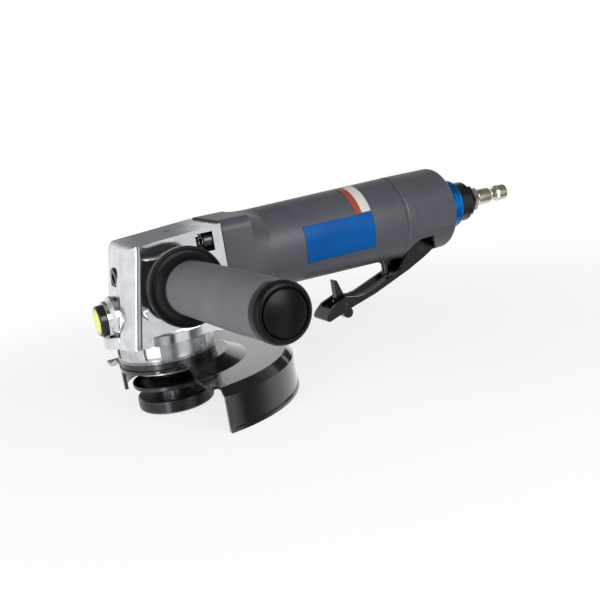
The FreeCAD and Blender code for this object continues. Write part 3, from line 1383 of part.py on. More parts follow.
bush_blank = turned("throttle_bushing_blank", [
    (valve_bush_low_z, s.valve_pin_r + s.run_gap), (valve_bush_low_z, s.valve_bush_r - s.valve_bush_lip),
    (valve_bush_low_z + s.valve_bush_lip, s.valve_bush_r), (valve_bush_top_z, s.valve_bush_r),
    (valve_bush_top_z, s.valve_room_r), (valve_room_z, s.valve_room_r),
    (valve_room_z, s.valve_pin_r + s.run_gap),
], "Z", (valve_x, zero, zero))
bush_port = cylinder("bush_port", s.valve_port_r, s.valve_bush_r + s.overrun, (valve_x, zero, valve_port_z),
                     "-X")
valve_bush = cut("throttle_bushing", bush_blank, bush_port)
valve_pin_low_z = valve_bush_low_z - s.valve_pin_stub
valve_head_z = valve_bush_top_z + s.valve_seat_gap
valve_top = valve_head_z + s.valve_head_h
throttle_pin = turned("throttle_pin", [
    (valve_pin_low_z, zero), (valve_pin_low_z + s.edge_bevel / 2, s.valve_pin_r - s.edge_bevel),
    (valve_pin_low_z + s.edge_bevel * 1.5, s.valve_pin_r), (valve_head_z, s.valve_pin_r),
    (valve_head_z, s.valve_head_r), (valve_top, s.valve_head_r), (valve_top, zero),
], "Z", (valve_x, zero, zero))
valve_spring_room = valve_bore_top_z - valve_top - s.valve_spring_wire * 2 - s.run_gap * 2
valve_spring = coil("throttle_spring", s.valve_spring_r, s.valve_spring_wire, valve_spring_room, 6,
                    (valve_x, zero, valve_top + s.valve_spring_wire + s.run_gap), "Z")

# Throttle lever: a channel of two walls and a web, drawn level and set at its slope.

lever_turn = FreeCAD.Rotation(FreeCAD.Vector(0, 1, 0), -s.lever_slope.value)
pivot = (pivot_x, zero, pivot_z)
underside = [(-s.chin_near, -s.chin_depth), (-s.knee_near, -s.knee_depth), (-s.belly_far, -s.belly_far_depth),
             (-s.belly_near, -s.belly_near_depth), (zero, -s.belly_depth)]
lever_blank = prism("lever_blank", [
    (s.heel_back, -s.heel_drop), (s.rear_back, -s.rear_drop), (s.rear_back, s.rear_up),
    (s.crown_back, s.crown_back_h),
    (zero, s.crown_h), (-s.crown_near, s.crown_h), (-s.crown_far, s.crown_far_h), (-s.step_near, zero),
    (-s.step_far, -s.rail_h), (-s.rail_far, -s.rail_h), (-s.dip_far, -s.dip_h), (-s.pad_near, s.pad_h),
    (-s.pad_far, s.pad_h), (-s.nose_near, -s.nose_fall), (-s.lever_len, -s.tip_fall),
] + underside, "XZ_Plane", -s.lever_half_w, s.lever_half_w)


def is_lever_end(edge):
    bounds = edge.BoundBox
    across = bounds.YLength > s.lever_half_w.value
    at_heel = bounds.XMin > s.crown_back.value
    at_tip = bounds.XMax < s.nose_fall.value - s.nose_near.value
    return across and (at_heel or at_tip)


rounded(lever_blank, "lever_soft", s.lever_round, is_lever_end)
place(lever_blank, pivot, lever_turn)
pocket_half = s.lever_half_w - s.lever_wall
crown_top = s.crown_h + s.overrun
floor = [(reach, depth + s.lever_web) for reach, depth in underside[1:4]]
lever_pocket = prism("lever_pocket", [
    (s.rear_back + s.overrun, -s.belly_depth - s.overrun), (s.rear_back + s.overrun, crown_top),
    (-s.latch_slot_far, crown_top), (-s.latch_slot_far, -s.knee_depth + s.lever_web),
] + floor + [
    (-s.web_start, -s.belly_depth), (-s.web_start, -s.belly_near_depth - s.overrun),
], "XZ_Plane", -pocket_half, pocket_half, pivot, lever_turn)
slot_half = s.latch_w / 2 + s.latch_slot_gap
slot_depth = s.belly_far_depth + s.overrun
latch_slot = prism("latch_slot", [
    (-s.latch_slot_near, -slot_depth), (-s.latch_slot_near, zero), (-s.latch_slot_far, zero),
    (-s.latch_slot_far, -slot_depth),
], "XZ_Plane", -slot_half, slot_half, pivot, lever_turn)
pivot_hole = cylinder("pivot_hole", s.pivot_r + s.run_gap, s.lever_half_w * 4,
                      (pivot_x, -s.lever_half_w * 2, pivot_z), "Y")
slope = math.radians(s.lever_slope.value)
latch_x = pivot_x - s.latch_s * math.cos(slope) - s.latch_t * math.sin(slope)
latch_z = pivot_z - s.latch_s * math.sin(slope) + s.latch_t * math.cos(slope)
latch_hole = cylinder("latch_hole", s.latch_pin_r, s.lever_half_w * 4,
                      (latch_x, -s.lever_half_w * 2, latch_z), "Y")
throttle_lever = cut("throttle_lever", lever_blank, lever_pocket, latch_slot, pivot_hole, latch_hole)
pivot_pin = turned("lever_pivot_pin", [
    (-s.lever_half_w, zero), (-s.lever_half_w, s.pivot_r), (s.lever_half_w, s.pivot_r),
    (s.lever_half_w, zero),
], "Y", pivot)

# Safety latch in the lever.

latch_spot = (latch_x, zero, latch_z)
latch_half = s.latch_w / 2
finger = prism("latch_finger", [
    (-s.latch_hub_r, zero), (-s.finger_base_front, s.finger_base_h), (-s.finger_top_x, s.finger_h),
    (s.finger_top_w - s.finger_top_x, s.finger_h - s.finger_lean), (s.finger_base_rear, s.finger_base_h),
    (s.latch_hub_r, zero),
], "XZ_Plane", -latch_half, latch_half, latch_spot)
leg = prism("latch_leg", [
    (-s.latch_hub_r, zero), (s.latch_hub_r, zero), (s.latch_nose_x + s.latch_nose_r, -s.latch_nose_z),
    (s.latch_nose_x - s.latch_nose_r, -s.latch_nose_z),
], "XZ_Plane", -latch_half, latch_half, latch_spot)
hub = cylinder("latch_hub", s.latch_hub_r, s.latch_w, (latch_x, -latch_half, latch_z), "Y")
latch_nose = cylinder("latch_nose", s.latch_nose_r, s.latch_w,
                      (latch_x + s.latch_nose_x, -latch_half, latch_z - s.latch_nose_z), "Y")
latch_way = cylinder("latch_way", s.latch_pin_r + s.run_gap, s.latch_w + s.overrun * 2,
                     (latch_x, -latch_half - s.overrun, latch_z), "Y")
safety_latch = cut("safety_latch", join("latch_solid", finger, leg, hub, latch_nose), latch_way)
latch_pin = cylinder("latch_pin", s.latch_pin_r, s.lever_half_w * 2, (latch_x, -s.lever_half_w, latch_z), "Y")
latch_spring_room = pocket_half - latch_half - s.latch_spring_wire * 2 - s.latch_slot_gap * 2
latch_spring = coil("latch_spring", s.latch_spring_r, s.latch_spring_wire, latch_spring_room, 4,
                    (latch_x, latch_half + s.latch_spring_wire + s.latch_slot_gap, latch_z), "Y")

NODES = {
    "gear_head": gear_head,
    "head_bolts": head_bolts,
    "front_plug_screw": plug_screw,
    "top_plug_screw": top_screw,
    "lock_bush": lock_bush,
    "lock_button": lock_button,
    "lock_button_disc": button_disc,
    "lock_pin": lock_pin,
    "lock_spring": lock_spring,
    "bearing_ring": bearing_ring,
    "spindle_seal": spindle_seal,
    "lower_spindle_bearing": lower_bearing,
    "upper_spindle_bearing": upper_bearing,
    "spindle": spindle,
    "bevel_gear": bevel_gear,
    "gear_clip": gear_clip,
    "inner_flange": inner_flange,
    "clamp_nut": clamp_nut,
    "guard": guard,
    "guard_collar": guard_collar,
    "guard_clamp_bolt": clamp_bolt,
    "handle_base": handle_base,
    "handle_grip": handle_grip,
    "handle_end_cap": handle_cap,
    "handle_stud": handle_stud,
    "head_gasket": head_gasket,
    "motor_housing": motor_housing,
    "name_label": name_label,
    "band_sticker": band_sticker,
    "rotor": rotor,
    "bevel_pinion": bevel_pinion,
    "rotor_vanes": rotor_vanes,
    "cylinder_liner": cylinder_liner,
    "front_end_plate": front_plate,
    "rear_end_plate": rear_plate,
    "front_rotor_bearing": front_bearing,
    "rear_rotor_bearing": rear_bearing,
    "liner_pin": liner_pin,
    "rear_cap": rear_cap,
    "air_tube": air_tube,
    "exhaust_silencer": silencer,
    "exhaust_ring": exhaust_ring,
    "inlet_bushing": inlet_bush,
    "inlet_screen": inlet_screen,
    "air_plug": air_plug,
    "throttle_bushing": valve_bush,
    "throttle_pin": throttle_pin,
    "throttle_spring": valve_spring,
    "throttle_lever": throttle_lever,
    "lever_pivot_pin": pivot_pin,
    "safety_latch": safety_latch,
    "latch_pin": latch_pin,
    "latch_spring": latch_spring,
}

doc.recompute()
problems = []
for item in doc.Objects:
    if "Invalid" in item.State or "Error" in item.State:
        problems.append("%s is %s" % (item.Name, item.State))
for name, item in NODES.items():
    shape = item.Shape
    if shape.isNull() or not shape.isValid() or not shape.Solids:
        problems.append("%s has no sound solid" % name)
    else:
        box_now = shape.BoundBox
        print("%-24s solids %2d volume %9.1f  x %.1f..%.1f y %.1f..%.1f z %.1f..%.1f" % (
            name, len(shape.Solids), shape.Volume, box_now.XMin, box_now.XMax, box_now.YMin, box_now.YMax,
            box_now.ZMin, box_now.ZMax))
if problems:
    raise SystemExit("; ".join(problems))

os.makedirs("parts", exist_ok=True)
for name, item in NODES.items():
    item.Shape.exportStep("parts/%s.step" % name)
print("nodes", len(NODES))
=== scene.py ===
import json
import math

import bpy
from mathutils import Matrix, Vector


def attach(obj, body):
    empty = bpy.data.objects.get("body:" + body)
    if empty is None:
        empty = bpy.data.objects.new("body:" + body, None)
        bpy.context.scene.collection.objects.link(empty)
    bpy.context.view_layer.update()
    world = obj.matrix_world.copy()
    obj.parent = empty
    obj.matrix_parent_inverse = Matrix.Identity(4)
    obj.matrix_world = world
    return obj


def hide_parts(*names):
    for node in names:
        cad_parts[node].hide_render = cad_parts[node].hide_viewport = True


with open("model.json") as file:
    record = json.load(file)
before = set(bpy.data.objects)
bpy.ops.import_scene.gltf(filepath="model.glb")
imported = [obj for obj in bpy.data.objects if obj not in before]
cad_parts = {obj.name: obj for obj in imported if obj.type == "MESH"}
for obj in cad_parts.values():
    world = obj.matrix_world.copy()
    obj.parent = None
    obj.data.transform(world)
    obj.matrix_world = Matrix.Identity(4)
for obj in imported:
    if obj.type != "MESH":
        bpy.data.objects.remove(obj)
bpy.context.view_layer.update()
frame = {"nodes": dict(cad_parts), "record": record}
nodes = frame["nodes"]
scene = bpy.context.scene
mm = 0.001
plainWhite = (1, 1, 1, 1)
print("frame loaded:", len(nodes), "nodes")

cameraSetup = {
    "place": (-119.5, -428.0, 145.1),  # mm
    "azimuth": -25.12,                 # degrees
    "elevation": 12.95,
    "roll": -9.05,
    "focalPixels": 854.08,             # focal length, in pixels of a frame as wide as the next value
    "framePixels": 600,
    "sensor": 36.0,                    # mm
    "clip": (0.01, 20),                # m
}


def makeCamera(setup):
    azimuth, elevation, roll = (math.radians(setup[key]) for key in ("azimuth", "elevation", "roll"))
    reach = math.cos(elevation)
    back = Vector((math.sin(azimuth) * reach, -math.cos(azimuth) * reach, math.sin(elevation)))
    level = Vector((math.cos(azimuth), math.sin(azimuth), 0))
    upright = back.cross(level)
    right = level * math.cos(roll) + upright * math.sin(roll)
    up = upright * math.cos(roll) - level * math.sin(roll)
    data = bpy.data.cameras.new("photoCamera")
    data.sensor_width = setup["sensor"]
    data.lens = setup["focalPixels"] / setup["framePixels"] * setup["sensor"]
    data.clip_start, data.clip_end = setup["clip"]
    camera = bpy.data.objects.new("photoCamera", data)
    scene.collection.objects.link(camera)
    turn = Matrix((right, up, back)).transposed().to_4x4()
    camera.matrix_world = Matrix.Translation(Vector(setup["place"]) * mm) @ turn
    scene.camera = camera


makeCamera(cameraSetup)
scene.view_settings.view_transform = "Standard"
print("camera set")


def toLinear(code):
    # sRGB hex text to a linear colour
    parts = [int(code[i:i + 2], 16) / 255 for i in (1, 3, 5)]
    return tuple(c / 12.92 if c <= 0.04045 else ((c + 0.055) / 1.055) ** 2.4 for c in parts) + (1.0,)


def addNode(tree, kind, values=None, links=None, **settings):
    node = tree.nodes.new(kind)
    for key, value in settings.items():
        setattr(node, key, value)
    for key, value in (values or {}).items():
        node.inputs[key].default_value = value
    for key, source in (links or {}).items():
        tree.links.new(source, node.inputs[key])
    return node


def feed(tree, socket, given):
    # a number or colour is typed into the socket, and anything else is linked to it
    if isinstance(given, (int, float, tuple)):
        socket.default_value = given
    else:
        tree.links.new(given, socket)


def addMath(tree, operation, *terms):
    node = addNode(tree, "ShaderNodeMath", operation=operation)
    for socket, term in zip(node.inputs, terms):
        feed(tree, socket, term)
    return node.outputs[0]


def addRange(tree, source, fromPair, toPair, smooth=False):
    values = dict(zip(("From Min", "From Max", "To Min", "To Max"), (*fromPair, *toPair)))
    node = addNode(tree, "ShaderNodeMapRange", values, {"Value": source})
    node.interpolation_type = "SMOOTHSTEP" if smooth else "LINEAR"
    return node.outputs["Result"]


def addNoise(tree, where, size, detail):
    # a pattern of this size in mm, on Object coordinates in metres
    values = {"Scale": 1 / (size * mm), "Detail": detail}
    return addNode(tree, "ShaderNodeTexNoise", values, {"Vector": where}).outputs["Fac"]


def addRelief(tree, height, strength, depth, below=None):
    # depth in mm; a relief can lie on another one below it
    values = {"Strength": strength, "Distance": depth * mm}
    links = {"Height": height, "Normal": below} if below else {"Height": height}
    return addNode(tree, "ShaderNodeBump", values, links).outputs["Normal"]


def addRamp(tree, source, stops):
    ramp = addNode(tree, "ShaderNodeValToRGB", links={"Fac": source})
    elements = ramp.color_ramp.elements
    elements[0].position, elements[0].color = stops[0][0], toLinear(stops[0][1])
    elements[1].position, elements[1].color = stops[-1][0], toLinear(stops[-1][1])
    for position, code in stops[1:-1]:
        elements.new(position).color = toLinear(code)
    return ramp.outputs["Color"]


def addShades(tree, source, look, places):
    return addRamp(tree, source, list(zip(places, (look["dark"], look["light"]))))


def startMaterial(name, **shaderValues):
    material = bpy.data.materials.new(name)
    material.use_nodes = True
    tree = material.node_tree
    shader = tree.nodes["Principled BSDF"]
    for key, value in shaderValues.items():
        shader.inputs[key.replace("_", " ")].default_value = value
    coords = addNode(tree, "ShaderNodeTexCoord")
    return material, tree, shader, coords.outputs["Object"]


def finishMaterial(tree, shader, **sources):
    for key, source in sources.items():
        tree.links.new(source, shader.inputs[key.replace("_", " ")])


metals = {
    # cast aluminium, ground and polished: a bright mirror with soft hollows, a fine grain and a cool tint
    "polishedAluminium": {"dark": "#D3D5D8", "light": "#E4E6E9", "roughLow": 0.10, "roughHigh": 0.20,
                          "grain": 1.1, "wave": 9, "bump": 0.25},
    # turned and ground steel: satin, with fine marks that spread the highlights
    "groundSteel": {"dark": "#B9BABD", "light": "#CFD0D3", "roughLow": 0.20, "roughHigh": 0.30,
                    "grain": 0.6, "wave": 7, "bump": 0.04},
    # black oxide on turned steel: nearly black, with sharp grey streaks where it mirrors a lamp
    "blackOxideSteel": {"dark": "#434346", "light": "#4D4D50", "roughLow": 0.24, "roughHigh": 0.29,
                        "grain": 2.4, "wave": 8, "bump": 0.02},
    # chrome plate: the brightest, sharpest mirror on the tool
    "chromePlate": {"dark": "#D0D0D2", "light": "#E6E6E8", "roughLow": 0.05, "roughHigh": 0.12,
                    "grain": 2.0, "wave": 8, "bump": 0.02},
    # anodised aluminium: deep blue satin metal
    "anodisedBlue": {"dark": "#0E6DBE", "light": "#1C8AE0", "roughLow": 0.26, "roughHigh": 0.38,
                     "grain": 0.5, "wave": 6, "bump": 0.03},
    # nickel plate on brass: pale and slightly warm
    "nickelBrass": {"dark": "#E4D9C6", "light": "#F2EADC", "roughLow": 0.14, "roughHigh": 0.26,
                    "grain": 0.7, "wave": 5, "bump": 0.03},
}
# how the grain and the slow waves of every metal are drawn, depths in mm
metalSetup = {"grainDetail": 4.0, "waveDetail": 1.0, "waveDepth": 0.6, "grainDepth": 0.1, "grainShare": 0.3,
              "shadePlaces": (0.35, 0.65)}


def metalFinish(name, setup):
    # fine grain sets the roughness, and slow waves bend the mirror a little
    look = metals[name]
    material, tree, shader, where = startMaterial(name, Metallic=1.0)
    grain = addNoise(tree, where, look["grain"], setup["grainDetail"])
    waves = addNoise(tree, where, look["wave"], setup["waveDetail"])
    hollows = addRelief(tree, waves, look["bump"], setup["waveDepth"])
    finishMaterial(
        tree, shader,
        Base_Color=addShades(tree, waves, look, setup["shadePlaces"]),
        Roughness=addRange(tree, grain, (0, 1), (look["roughLow"], look["roughHigh"])),
        Normal=addRelief(tree, grain, look["bump"] * setup["grainShare"], setup["grainDepth"], hollows),
    )
    return material


plastics = {
    # glass-filled nylon, spark-eroded mould: even grey with a fine tooth and a broad soft sheen
    "mouldedHousing": {"dark": "#46474E", "light": "#4D4E56",
                       "rough": 0.42, "gloss": 0.45, "grain": 0.55, "bump": 0.16},
    # soft thermoplastic rubber: lighter grey, no highlight to speak of
    "softGrip": {"dark": "#55555A", "light": "#5D5D62",
                 "rough": 0.62, "gloss": 0.3, "grain": 0.4, "bump": 0.22},
    # plain black nylon: deep black, soft highlight
    "blackNylon": {"dark": "#0C0B0E", "light": "#121114",
                   "rough": 0.30, "gloss": 0.14, "grain": 0.5, "bump": 0.08},
    # charcoal nylon of the handle's flange: nearly as dark as the end cap, and more matte
    "charcoalNylon": {"dark": "#101012", "light": "#151517",
                      "rough": 0.38, "gloss": 0.16, "grain": 0.5, "bump": 0.12},
    # acetal push button: smooth black
    "blackButton": {"dark": "#121214", "light": "#1A1A1C",
                    "rough": 0.22, "gloss": 0.5, "grain": 0.8, "bump": 0.03},
    # yellow acetal insert: clean, slightly glossy
    "yellowButton": {"dark": "#CFC655", "light": "#DDD56A",
                     "rough": 0.28, "gloss": 0.5, "grain": 0.8, "bump": 0.03},
    # printed polyester film: even colour under a thin clear gloss
    "bluePrint": {"dark": "#00498C", "light": "#005298",
                  "rough": 0.30, "gloss": 0.12, "grain": 0.6, "bump": 0.03},
    # the same film in a dull orange, with a plain pale field from this place along X, in mm, to its end
    "orangePrint": {"dark": "#8C4133", "light": "#984A3A",
                    "rough": 0.32, "gloss": 0.25, "grain": 0.6, "bump": 0.03,
                    "field": "#C9C6C0", "fieldFrom": 116.6},
    # cloth-filled phenolic resin of the vanes: brown and dull
    "phenolicResin": {"dark": "#5E3E22", "light": "#7A5431",
                      "rough": 0.50, "gloss": 0.5, "grain": 0.3, "bump": 0.10},
    # nitrile seal: dull black
    "sealRubber": {"dark": "#1A1A1A", "light": "#262626",
                   "rough": 0.60, "gloss": 0.5, "grain": 0.4, "bump": 0.10},
    # gasket paper: dark fibrous line between head and housing
    "gasketPaper": {"dark": "#2E302E", "light": "#3A3D3A",
                    "rough": 0.80, "gloss": 0.2, "grain": 0.3, "bump": 0.20},
    # wool felt: pale and fully matte
    "silencerFelt": {"dark": "#A8A294", "light": "#C6C0B2",
                     "rough": 0.95, "gloss": 0.2, "grain": 0.5, "bump": 0.60},
}
# how the patches and the grain of every plastic are drawn, sizes in mm
plasticSetup = {"patch": 14, "patchDetail": 3.0, "grainDetail": 2.0, "grainDepth": 0.2, "roughSpread": 0.06,
                "shadePlaces": (0.3, 0.7)}
# places of the colour sockets on a Mix node
mixSocket = {"share": 0, "first": 6, "second": 7, "result": 2}


def addField(tree, where, look, printed):
    # the printed colour up to the field's place along X, and the field's own past it
    axes = addNode(tree, "ShaderNodeSeparateXYZ", links={"Vector": where})
    past = addMath(tree, "GREATER_THAN", axes.outputs["X"], look["fieldFrom"] * mm)
    mixed = addNode(tree, "ShaderNodeMix", {mixSocket["second"]: toLinear(look["field"])},
                    {mixSocket["share"]: past, mixSocket["first"]: printed}, data_type="RGBA")
    return mixed.outputs[mixSocket["result"]]


def plasticFinish(name, setup):
    # slow shade changes, with the mould's fine grain in the relief
    look = plastics[name]
    rough, spread = look["rough"], setup["roughSpread"]
    material, tree, shader, where = startMaterial(name, Roughness=rough, Specular_IOR_Level=look["gloss"])
    patches = addNoise(tree, where, setup["patch"], setup["patchDetail"])
    grain = addNoise(tree, where, look["grain"], setup["grainDetail"])
    colour = addShades(tree, patches, look, setup["shadePlaces"])
    if "field" in look:
        colour = addField(tree, where, look, colour)
    finishMaterial(
        tree, shader, Base_Color=colour,
        Roughness=addRange(tree, grain, (0, 1), (rough - spread, rough + spread)),
        Normal=addRelief(tree, grain, look["bump"], setup["grainDepth"]),
    )
    return material


enamels = {
    # baked black enamel on the pressed guard: jet black, mirror-like at a low angle, with a faint orange peel
    "blackEnamel": {"dark": "#0A0A0B", "light": "#101012",
                    "rough": 0.20, "gloss": 0.35, "peel": 1.6, "bump": 0.05, "coat": 1.0},
    # thin black paint on the lever and its latch: as dark, with a weaker shine
    "leverPaint": {"dark": "#070708", "light": "#0D0D0F",
                   "rough": 0.26, "gloss": 0.25, "peel": 1.2, "bump": 0.05, "coat": 0.25},
}
# how every paint's slight unevenness is drawn, depth in mm
enamelSetup = {"coatRough": 0.06, "peelDetail": 1.0, "peelDepth": 0.2, "shadePlaces": (0.3, 0.7)}


def enamelFinish(name, setup):
    # the relief is the paint's own slight unevenness
    look = enamels[name]
    material, tree, shader, where = startMaterial(
        name, Roughness=look["rough"], Coat_Weight=look["coat"], Coat_Roughness=setup["coatRough"],
        Specular_IOR_Level=look["gloss"])
    peel = addNoise(tree, where, look["peel"], setup["peelDetail"])
    finishMaterial(
        tree, shader,
        Base_Color=addShades(tree, peel, look, setup["shadePlaces"]),
        Normal=addRelief(tree, peel, look["bump"], setup["peelDepth"]),
    )
    return material


finishes = {name: metalFinish(name, metalSetup) for name in metals}
finishes.update({name: plasticFinish(name, plasticSetup) for name in plastics})
finishes.update({name: enamelFinish(name, enamelSetup) for name in enamels})
slotFinish = {
    "cast_aluminium": "polishedAluminium", "black_steel": "blackEnamel", "dark_steel": "blackOxideSteel",
    "ground_steel": "groundSteel", "bright_chrome": "chromePlate", "button_black": "blackButton",
    "button_yellow": "yellowButton", "housing_grey": "mouldedHousing", "label_blue": "bluePrint",
    "sticker_orange": "orangePrint", "grip_grey": "softGrip", "handle_black": "blackNylon",
    "ring_blue": "anodisedBlue", "pale_brass": "nickelBrass", "vane_resin": "phenolicResin",
    "seal_rubber": "sealRubber", "gasket_fibre": "gasketPaper", "silencer_felt": "silencerFelt",
}
# nodes whose finish differs from the rest of their slot
nodeFinish = {
    "throttle_lever": "leverPaint", "safety_latch": "leverPaint",
    "throttle_pin": "blackOxideSteel", "throttle_bushing": "blackOxideSteel",
    "lever_pivot_pin": "blackOxideSteel", "latch_pin": "blackOxideSteel",
}
print("materials made:", len(finishes))

edgeSetup = {
    "merge": 0.01,        # mm, points this close are one
    "width": {"gear_head": 1.8, "motor_housing": 0.5, "rear_cap": 0.5, "guard": 0.3, "throttle_lever": 0.5},
    "plainWidth": 0.2,    # mm, of an eased edge on every other node
    "angle": {"guard": 18, "motor_housing": 14, "rear_cap": 16, "gear_head": 20},
    "plainAngle": 28,     # degrees, sharper edges are eased
    "steps": 3,
    "flatWeight": 80,     # how much more a large face counts in the shading than a small one
}


def softenEdges(piece, setup):
    weld = piece.modifiers.new("weld", "WELD")
    weld.merge_threshold = setup["merge"] * mm
    bevel = piece.modifiers.new("edges", "BEVEL")
    bevel.width = setup["width"].get(piece.name, setup["plainWidth"]) * mm
    bevel.segments = setup["steps"]
    bevel.limit_method = "ANGLE"
    bevel.angle_limit = math.radians(setup["angle"].get(piece.name, setup["plainAngle"]))
    bevel.use_clamp_overlap = True
    bevel.miter_outer = "MITER_ARC"
    # large flat faces keep their own shading next to the eased edges
    shading = piece.modifiers.new("shading", "WEIGHTED_NORMAL")
    shading.mode = "FACE_AREA"
    shading.weight = setup["flatWeight"]


def paint(piece, finish):
    piece.data.materials.clear()
    piece.data.materials.append(finishes[finish])
    for polygon in piece.data.polygons:
        polygon.use_smooth = True


def addPiece(name, mesh, body, finish, *stoodFor):
    # a finished piece of the visual model, on its CAD body
    piece = bpy.data.objects.new(name, mesh)
    scene.collection.objects.link(piece)
    paint(piece, finish)
    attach(piece, body)
    if stoodFor:
        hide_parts(*stoodFor)


def faceOutwards(mesh):
    # turns every face about when the closed mesh is inside out
    mesh.calc_loop_triangles()
    points = mesh.vertices
    volume = sum(points[a].co.dot(points[b].co.cross(points[c].co))
                 for a, b, c in (face.vertices for face in mesh.loop_triangles))
    if volume < 0:
        mesh.flip_normals()


# the side handle's own line: mm and degrees, and places along it are counted from its base
handleLine = {"base": (3.0, 0.0, 66.8), "rake": 3.5, "around": 112}


def handleAxis(setup):
    rake = math.radians(setup["rake"])
    along = Vector((math.sin(rake), -math.cos(rake), 0))
    across = Vector((math.cos(rake), math.sin(rake), 0))
    return Vector(setup["base"]), along, across


def latheMesh(name, outline, closed):
    # outline: (place along the handle, radius) pairs; a radius of zero closes the end
    base, along, across = handleAxis(handleLine)
    around = handleLine["around"]
    points, rings, faces = [], [], []
    for place, radius in outline:
        if radius == 0:
            rings.append([len(points)] * around)
            points.append((base + along * place) * mm)
            continue
        rings.append(list(range(len(points), len(points) + around)))
        for step in range(around):
            angle = 2 * math.pi * step / around
            spoke = across * math.cos(angle) + Vector((0, 0, math.sin(angle)))
            points.append((base + along * place + spoke * radius) * mm)
    pairs = list(zip(rings, rings[1:] + rings[:1])) if closed else list(zip(rings, rings[1:]))
    for near, far in pairs:
        for step in range(around):
            after = (step + 1) % around
            corners = []
            for index in (near[step], near[after], far[after], far[step]):
                if index not in corners:
                    corners.append(index)
            faces.append(corners)
    mesh = bpy.data.meshes.new(name)
    mesh.from_pydata(points, [], faces)
    faceOutwards(mesh)
    return mesh


def bend(centre, reach, start, end, steps):
    # points of an elliptic arc; angles in degrees, 0 along the handle and 90 outwards
    turns = [math.radians(start + (end - start) * k / steps) for k in range(steps + 1)]
    return [(centre[0] + reach[0] * math.cos(turn), centre[1] + reach[1] * math.sin(turn)) for turn in turns]


flangeShape = {
    "back": 32.4, "seat": 17.0, "bore": 4.2, "seatLip": 0.6,
    "rimNear": 34.6, "rimFar": 39.4, "rim": 20.1, "nearRound": 1.2, "farRound": 1.0,
    "dish": 18.5, "dishDepth": 5.2, "neck": 14.0, "front": 43.5,
}


def makeFlange(setup):
    # a turned flange with a thick rounded rim and a dished front that falls to the grip
    rim, near, far, front = (setup[key] for key in ("rim", "rimNear", "rimFar", "front"))
    nearRound, farRound = setup["nearRound"], setup["farRound"]
    dishReach = (setup["dishDepth"], setup["dish"] - setup["neck"])
    outline = [(setup["back"], setup["bore"]), (setup["back"], setup["seat"])]
    outline += [(near, setup["seat"] + setup["seatLip"])]
    outline += bend((near + nearRound, rim - nearRound), (nearRound, nearRound), start=180, end=90, steps=6)
    outline += bend((far - farRound, rim - farRound), (farRound, farRound), start=90, end=-40, steps=10)
    outline += bend((front, setup["dish"]), dishReach, start=180, end=270, steps=24)
    outline += [(front, setup["bore"])]
    mesh = latheMesh("handleFlange", outline, True)
    addPiece("handleFlange", mesh, "machine", "charcoalNylon", "handle_base")


capShape = {
    "back": 127.2, "rim": 13.2, "backRound": (1.3, 0.9), "frontRound": (2.9, 2.6),
    "foot": 134.7, "far": 136.35, "groove": 10.1, "grooveLip": (0.25, 0.55), "grooveFloor": (1.5, 0.3),
    "dome": 9.7, "domeSink": (1.6, 0.15), "domeRound": 0.5, "domeInset": 0.6, "domeSteps": 18,
}


def makeCap(setup):
    # a turned end cap: a rounded rim, a groove round its face, and a shallow dome within the groove
    rim, groove, dome, foot = (setup[key] for key in ("rim", "groove", "dome", "foot"))
    backRound, frontRound, domeRound = setup["backRound"], setup["frontRound"], setup["domeRound"]
    lip, floor, sink = setup["grooveLip"], setup["grooveFloor"], setup["domeSink"]
    outline = [(setup["back"], 0), (setup["back"], rim - backRound[1])]
    outline += bend((setup["back"] + backRound[0], rim - backRound[1]), backRound, start=180, end=90, steps=6)
    outline += bend((foot - frontRound[0], rim - frontRound[1]), frontRound, start=90, end=0, steps=16)
    outline += [(foot - lip[0], groove + lip[1]), (foot - floor[0], groove + floor[1])]
    outline += [(foot - sink[0], dome + sink[1])]
    outline += bend((foot - domeRound, dome - domeRound), (domeRound, domeRound), start=90, end=35, steps=5)
    steps = setup["domeSteps"]
    for share in (k / steps for k in range(steps - 1, -1, -1)):
        height = (setup["far"] - foot) * (1 - share ** 2)
        outline.append((foot + height, (dome - setup["domeInset"]) * share))
    mesh = latheMesh("handleEndCap", outline, False)
    addPiece("handleEndCap", mesh, "machine", "blackNylon", "handle_end_cap")


def startGroup(name, sockets):
    # a geometry node tree with these named inputs and one mesh output
    group = bpy.data.node_groups.new(name, "GeometryNodeTree")
    for title, kind in sockets:
        group.interface.new_socket(title, in_out="INPUT", socket_type="NodeSocket" + kind)
    group.interface.new_socket("Mesh", in_out="OUTPUT", socket_type="NodeSocketGeometry")
    return group, group.nodes.new("NodeGroupInput").outputs, group.nodes.new("NodeGroupOutput")


def endGroup(group, made, finish, output):
    smooth = addNode(group, "GeometryNodeSetShadeSmooth", links={"Geometry": made})
    whole = addNode(group, "GeometryNodeRealizeInstances", links={"Geometry": smooth.outputs[0]})
    links = {"Geometry": whole.outputs[0], "Material": finish}
    painted = addNode(group, "GeometryNodeSetMaterial", links=links)
    group.links.new(painted.outputs[0], output.inputs[0])


